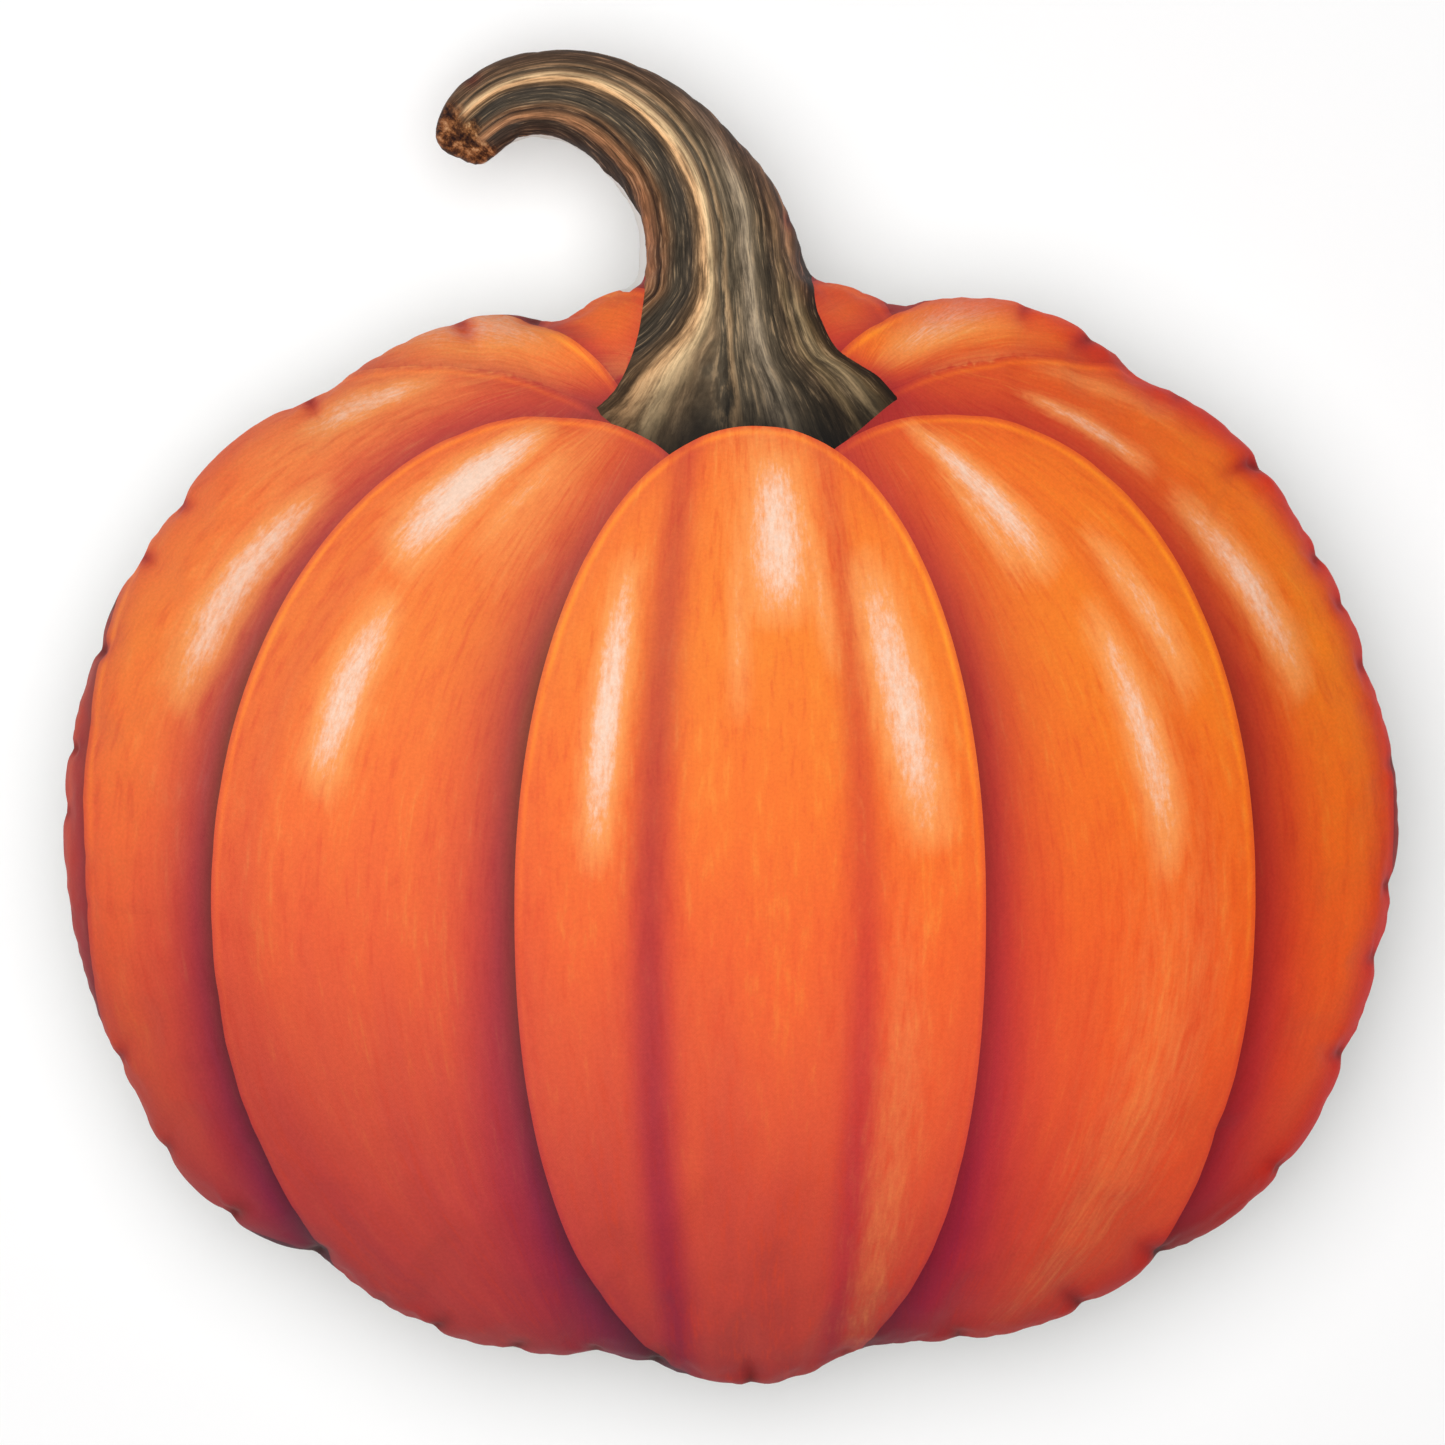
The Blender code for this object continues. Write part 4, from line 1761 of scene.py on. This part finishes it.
    @staticmethod
    def in_groove(sheet: Sheet, colour: Term, light: Term, warmth: Term) -> Term:
        """A colour in the maroon shadow between two ribs.

        Its red fades with the light, of which a fifth always stays, its green goes as
        0.22 + 0.78 light^3, and its blue rises by 0.3 of what the light loses, but falls by 2.2 of
        the loss beyond 0.55. The warmth gives back 0.14 of what the red loses, and takes 0.16 of the
        loss from the green.

        Args:
            sheet: the node tree.
            colour: the colour.
            light: what is left of the light, 1 for all of it.
            warmth: how much redder the shadow is, 0 to 1.

        Returns:
            The darker colour.
        """
        light = light.sum("MAXIMUM", 0.2)
        lost = light.from_one()
        red = light + lost * warmth * 0.14
        green = light * light * light * 0.78 + 0.22 - lost * warmth * 0.16
        blue = lost * 0.3 + 1.0 - (lost - 0.55).sum("MAXIMUM", 0.0) * 2.2
        return sheet.vector_sum("MULTIPLY", colour, sheet.vector(red, green, blue))

    @staticmethod
    def shaded(sheet: Sheet, colour: Term, light: Term) -> Term:
        """A colour in a fold's shadow: its green and blue fade three times as fast as its red.

        Args:
            sheet: the node tree.
            colour: the colour.
            light: what is left of the light, 1 for all of it.

        Returns:
            The darker colour.
        """
        faster = light * light * light
        return sheet.vector_sum("MULTIPLY", colour, sheet.vector(light, faster, faster))


@dataclass(frozen=True)
class PlainCloth:
    """The back: the same smooth cloth, off-white and unprinted.

    Attributes:
        colour: the cloth's colour.
        thread: the threads' spacing, in mm.
        roughness: how dull the cloth is.
        gloss: how much light it mirrors.
    """

    colour: Dye = Dye(236, 233, 227)
    thread: float = 0.5
    roughness: float = 0.7
    gloss: float = 0.4

    def material(self) -> bpy.types.Material:
        """Makes the material."""
        material = bpy.data.materials.new("plain_back_cloth")
        material.use_nodes = True
        sheet = Sheet(material.node_tree)
        place = sheet.scaled(sheet.term(sheet.add("ShaderNodeTexCoord", {}), "Object"), 1.0 / MM)
        weave = ClothSurfaceEffect().use(sheet, Place=place, Thread=self.thread)
        broad = sheet.noise(place, 0.02, 2.0)
        light = sheet.ease(weave["Mottle"], 0.2, 0.8, 0.95, 1.03) * sheet.ease(broad, 0.3, 0.7, 0.97, 1.02)
        colour = sheet.scaled(self.colour.rgba[:3], light)
        dress(sheet, colour, weave["Height"], self.roughness, self.gloss)
        return material


@dataclass
class Studio:
    """A pale floor, soft light from above and the camera.

    Attributes:
        photo_span: how much of the floor the camera's square picture takes in.
        lens_angle: the camera's angle of view in degrees, small because the lens is long.
        aim: the point on the cushion that the picture's middle shows.
        focus_height: the height at which the picture takes in just that span.
        floor_reach: how far the floor reaches from the origin to each side.
        floor_grey: how light the floor is.
        lamp_place: where the lamp hangs. It points at the origin.
        lamp_size: its diameter.
        lamp_power: its power in watts.
        sky_strength: how bright the sky is.
    """

    photo_span: float = 493.9 * MM
    lens_angle: float = 9.0
    aim: tuple[float, float] = (-2.9 * MM, -2.2 * MM)
    focus_height: float = 45.0 * MM
    floor_reach: float = 4.0
    floor_grey: float = 0.92
    lamp_place: Point = (-0.20, 0.14, 2.1)
    lamp_size: float = 2.9
    lamp_power: float = 52.0
    sky_strength: float = 0.29

    def floor(self) -> None:
        """Lays the wide pale floor that the cushion lies on."""
        across = np.array((-1.0, 1.0, 1.0, -1.0)) * self.floor_reach
        up = np.array((-1.0, -1.0, 1.0, 1.0)) * self.floor_reach
        mesh = bpy.data.meshes.new("floor")
        mesh.from_pydata(np.column_stack((across, up, np.zeros(4))).tolist(), [], [(0, 1, 2, 3)])
        floor = bpy.data.objects.new("floor", mesh)
        bpy.context.scene.collection.objects.link(floor)
        paper = bpy.data.materials.new("pale_floor")
        paper.use_nodes = True
        shader = paper.node_tree.nodes["Principled BSDF"]
        shader.inputs["Base Color"].default_value = (*[self.floor_grey] * 3, 1.0)
        shader.inputs["Roughness"].default_value = 0.9
        shader.inputs["Specular IOR Level"].default_value = 0.0
        mesh.materials.append(paper)

    def camera(self) -> None:
        """Sets up a long-lens camera that looks straight down at the face."""
        data = bpy.data.cameras.new("camera")
        data.sensor_fit = "HORIZONTAL"
        data.angle = math.radians(self.lens_angle)
        camera = bpy.data.objects.new("camera", data)
        distance = self.photo_span / 2.0 / math.tan(math.radians(self.lens_angle) / 2.0)
        camera.location = (*self.aim, self.focus_height + distance)
        data.clip_end = 20.0
        bpy.context.scene.collection.objects.link(camera)
        bpy.context.scene.camera = camera

    def lights(self) -> None:
        """Adds one wide soft lamp overhead, and an even pale sky."""
        data = bpy.data.lights.new("overhead", "AREA")
        data.shape = "DISK"
        data.size = self.lamp_size
        data.energy = self.lamp_power
        lamp = bpy.data.objects.new("overhead", data)
        lamp.location = self.lamp_place
        lamp.rotation_euler = (-Vector(self.lamp_place)).to_track_quat("-Z", "Y").to_euler()
        bpy.context.scene.collection.objects.link(lamp)
        world = bpy.data.worlds.new("sky")
        bpy.context.scene.world = world
        world.use_nodes = True
        sky = world.node_tree.nodes["Background"]
        sky.inputs["Color"].default_value = (1.0, 1.0, 1.0, 1.0)
        sky.inputs["Strength"].default_value = self.sky_strength

    def build(self) -> None:
        """Sets up the whole studio."""
        self.camera()
        self.floor()
        self.lights()
        view = bpy.context.scene.view_settings
        view.view_transform = "Standard"
        view.look = "None"


def main() -> None:
    """Builds the studio and the cushion, and reports each piece."""
    logging.basicConfig(level=logging.INFO, format="%(name)s: %(message)s")
    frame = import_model()
    Studio().build()
    cover = CushionCover()
    piece = cover.build(Solid.of_node(frame["nodes"][NODE]))
    for cloth in (PrintedCloth(), PlainCloth()):
        piece.data.materials.append(cloth.material())
    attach(piece, BODY)
    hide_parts(NODE)
    LOG.info("%s: %d faces", piece.name, len(piece.data.polygons))


if __name__ == "__main__":
    main()
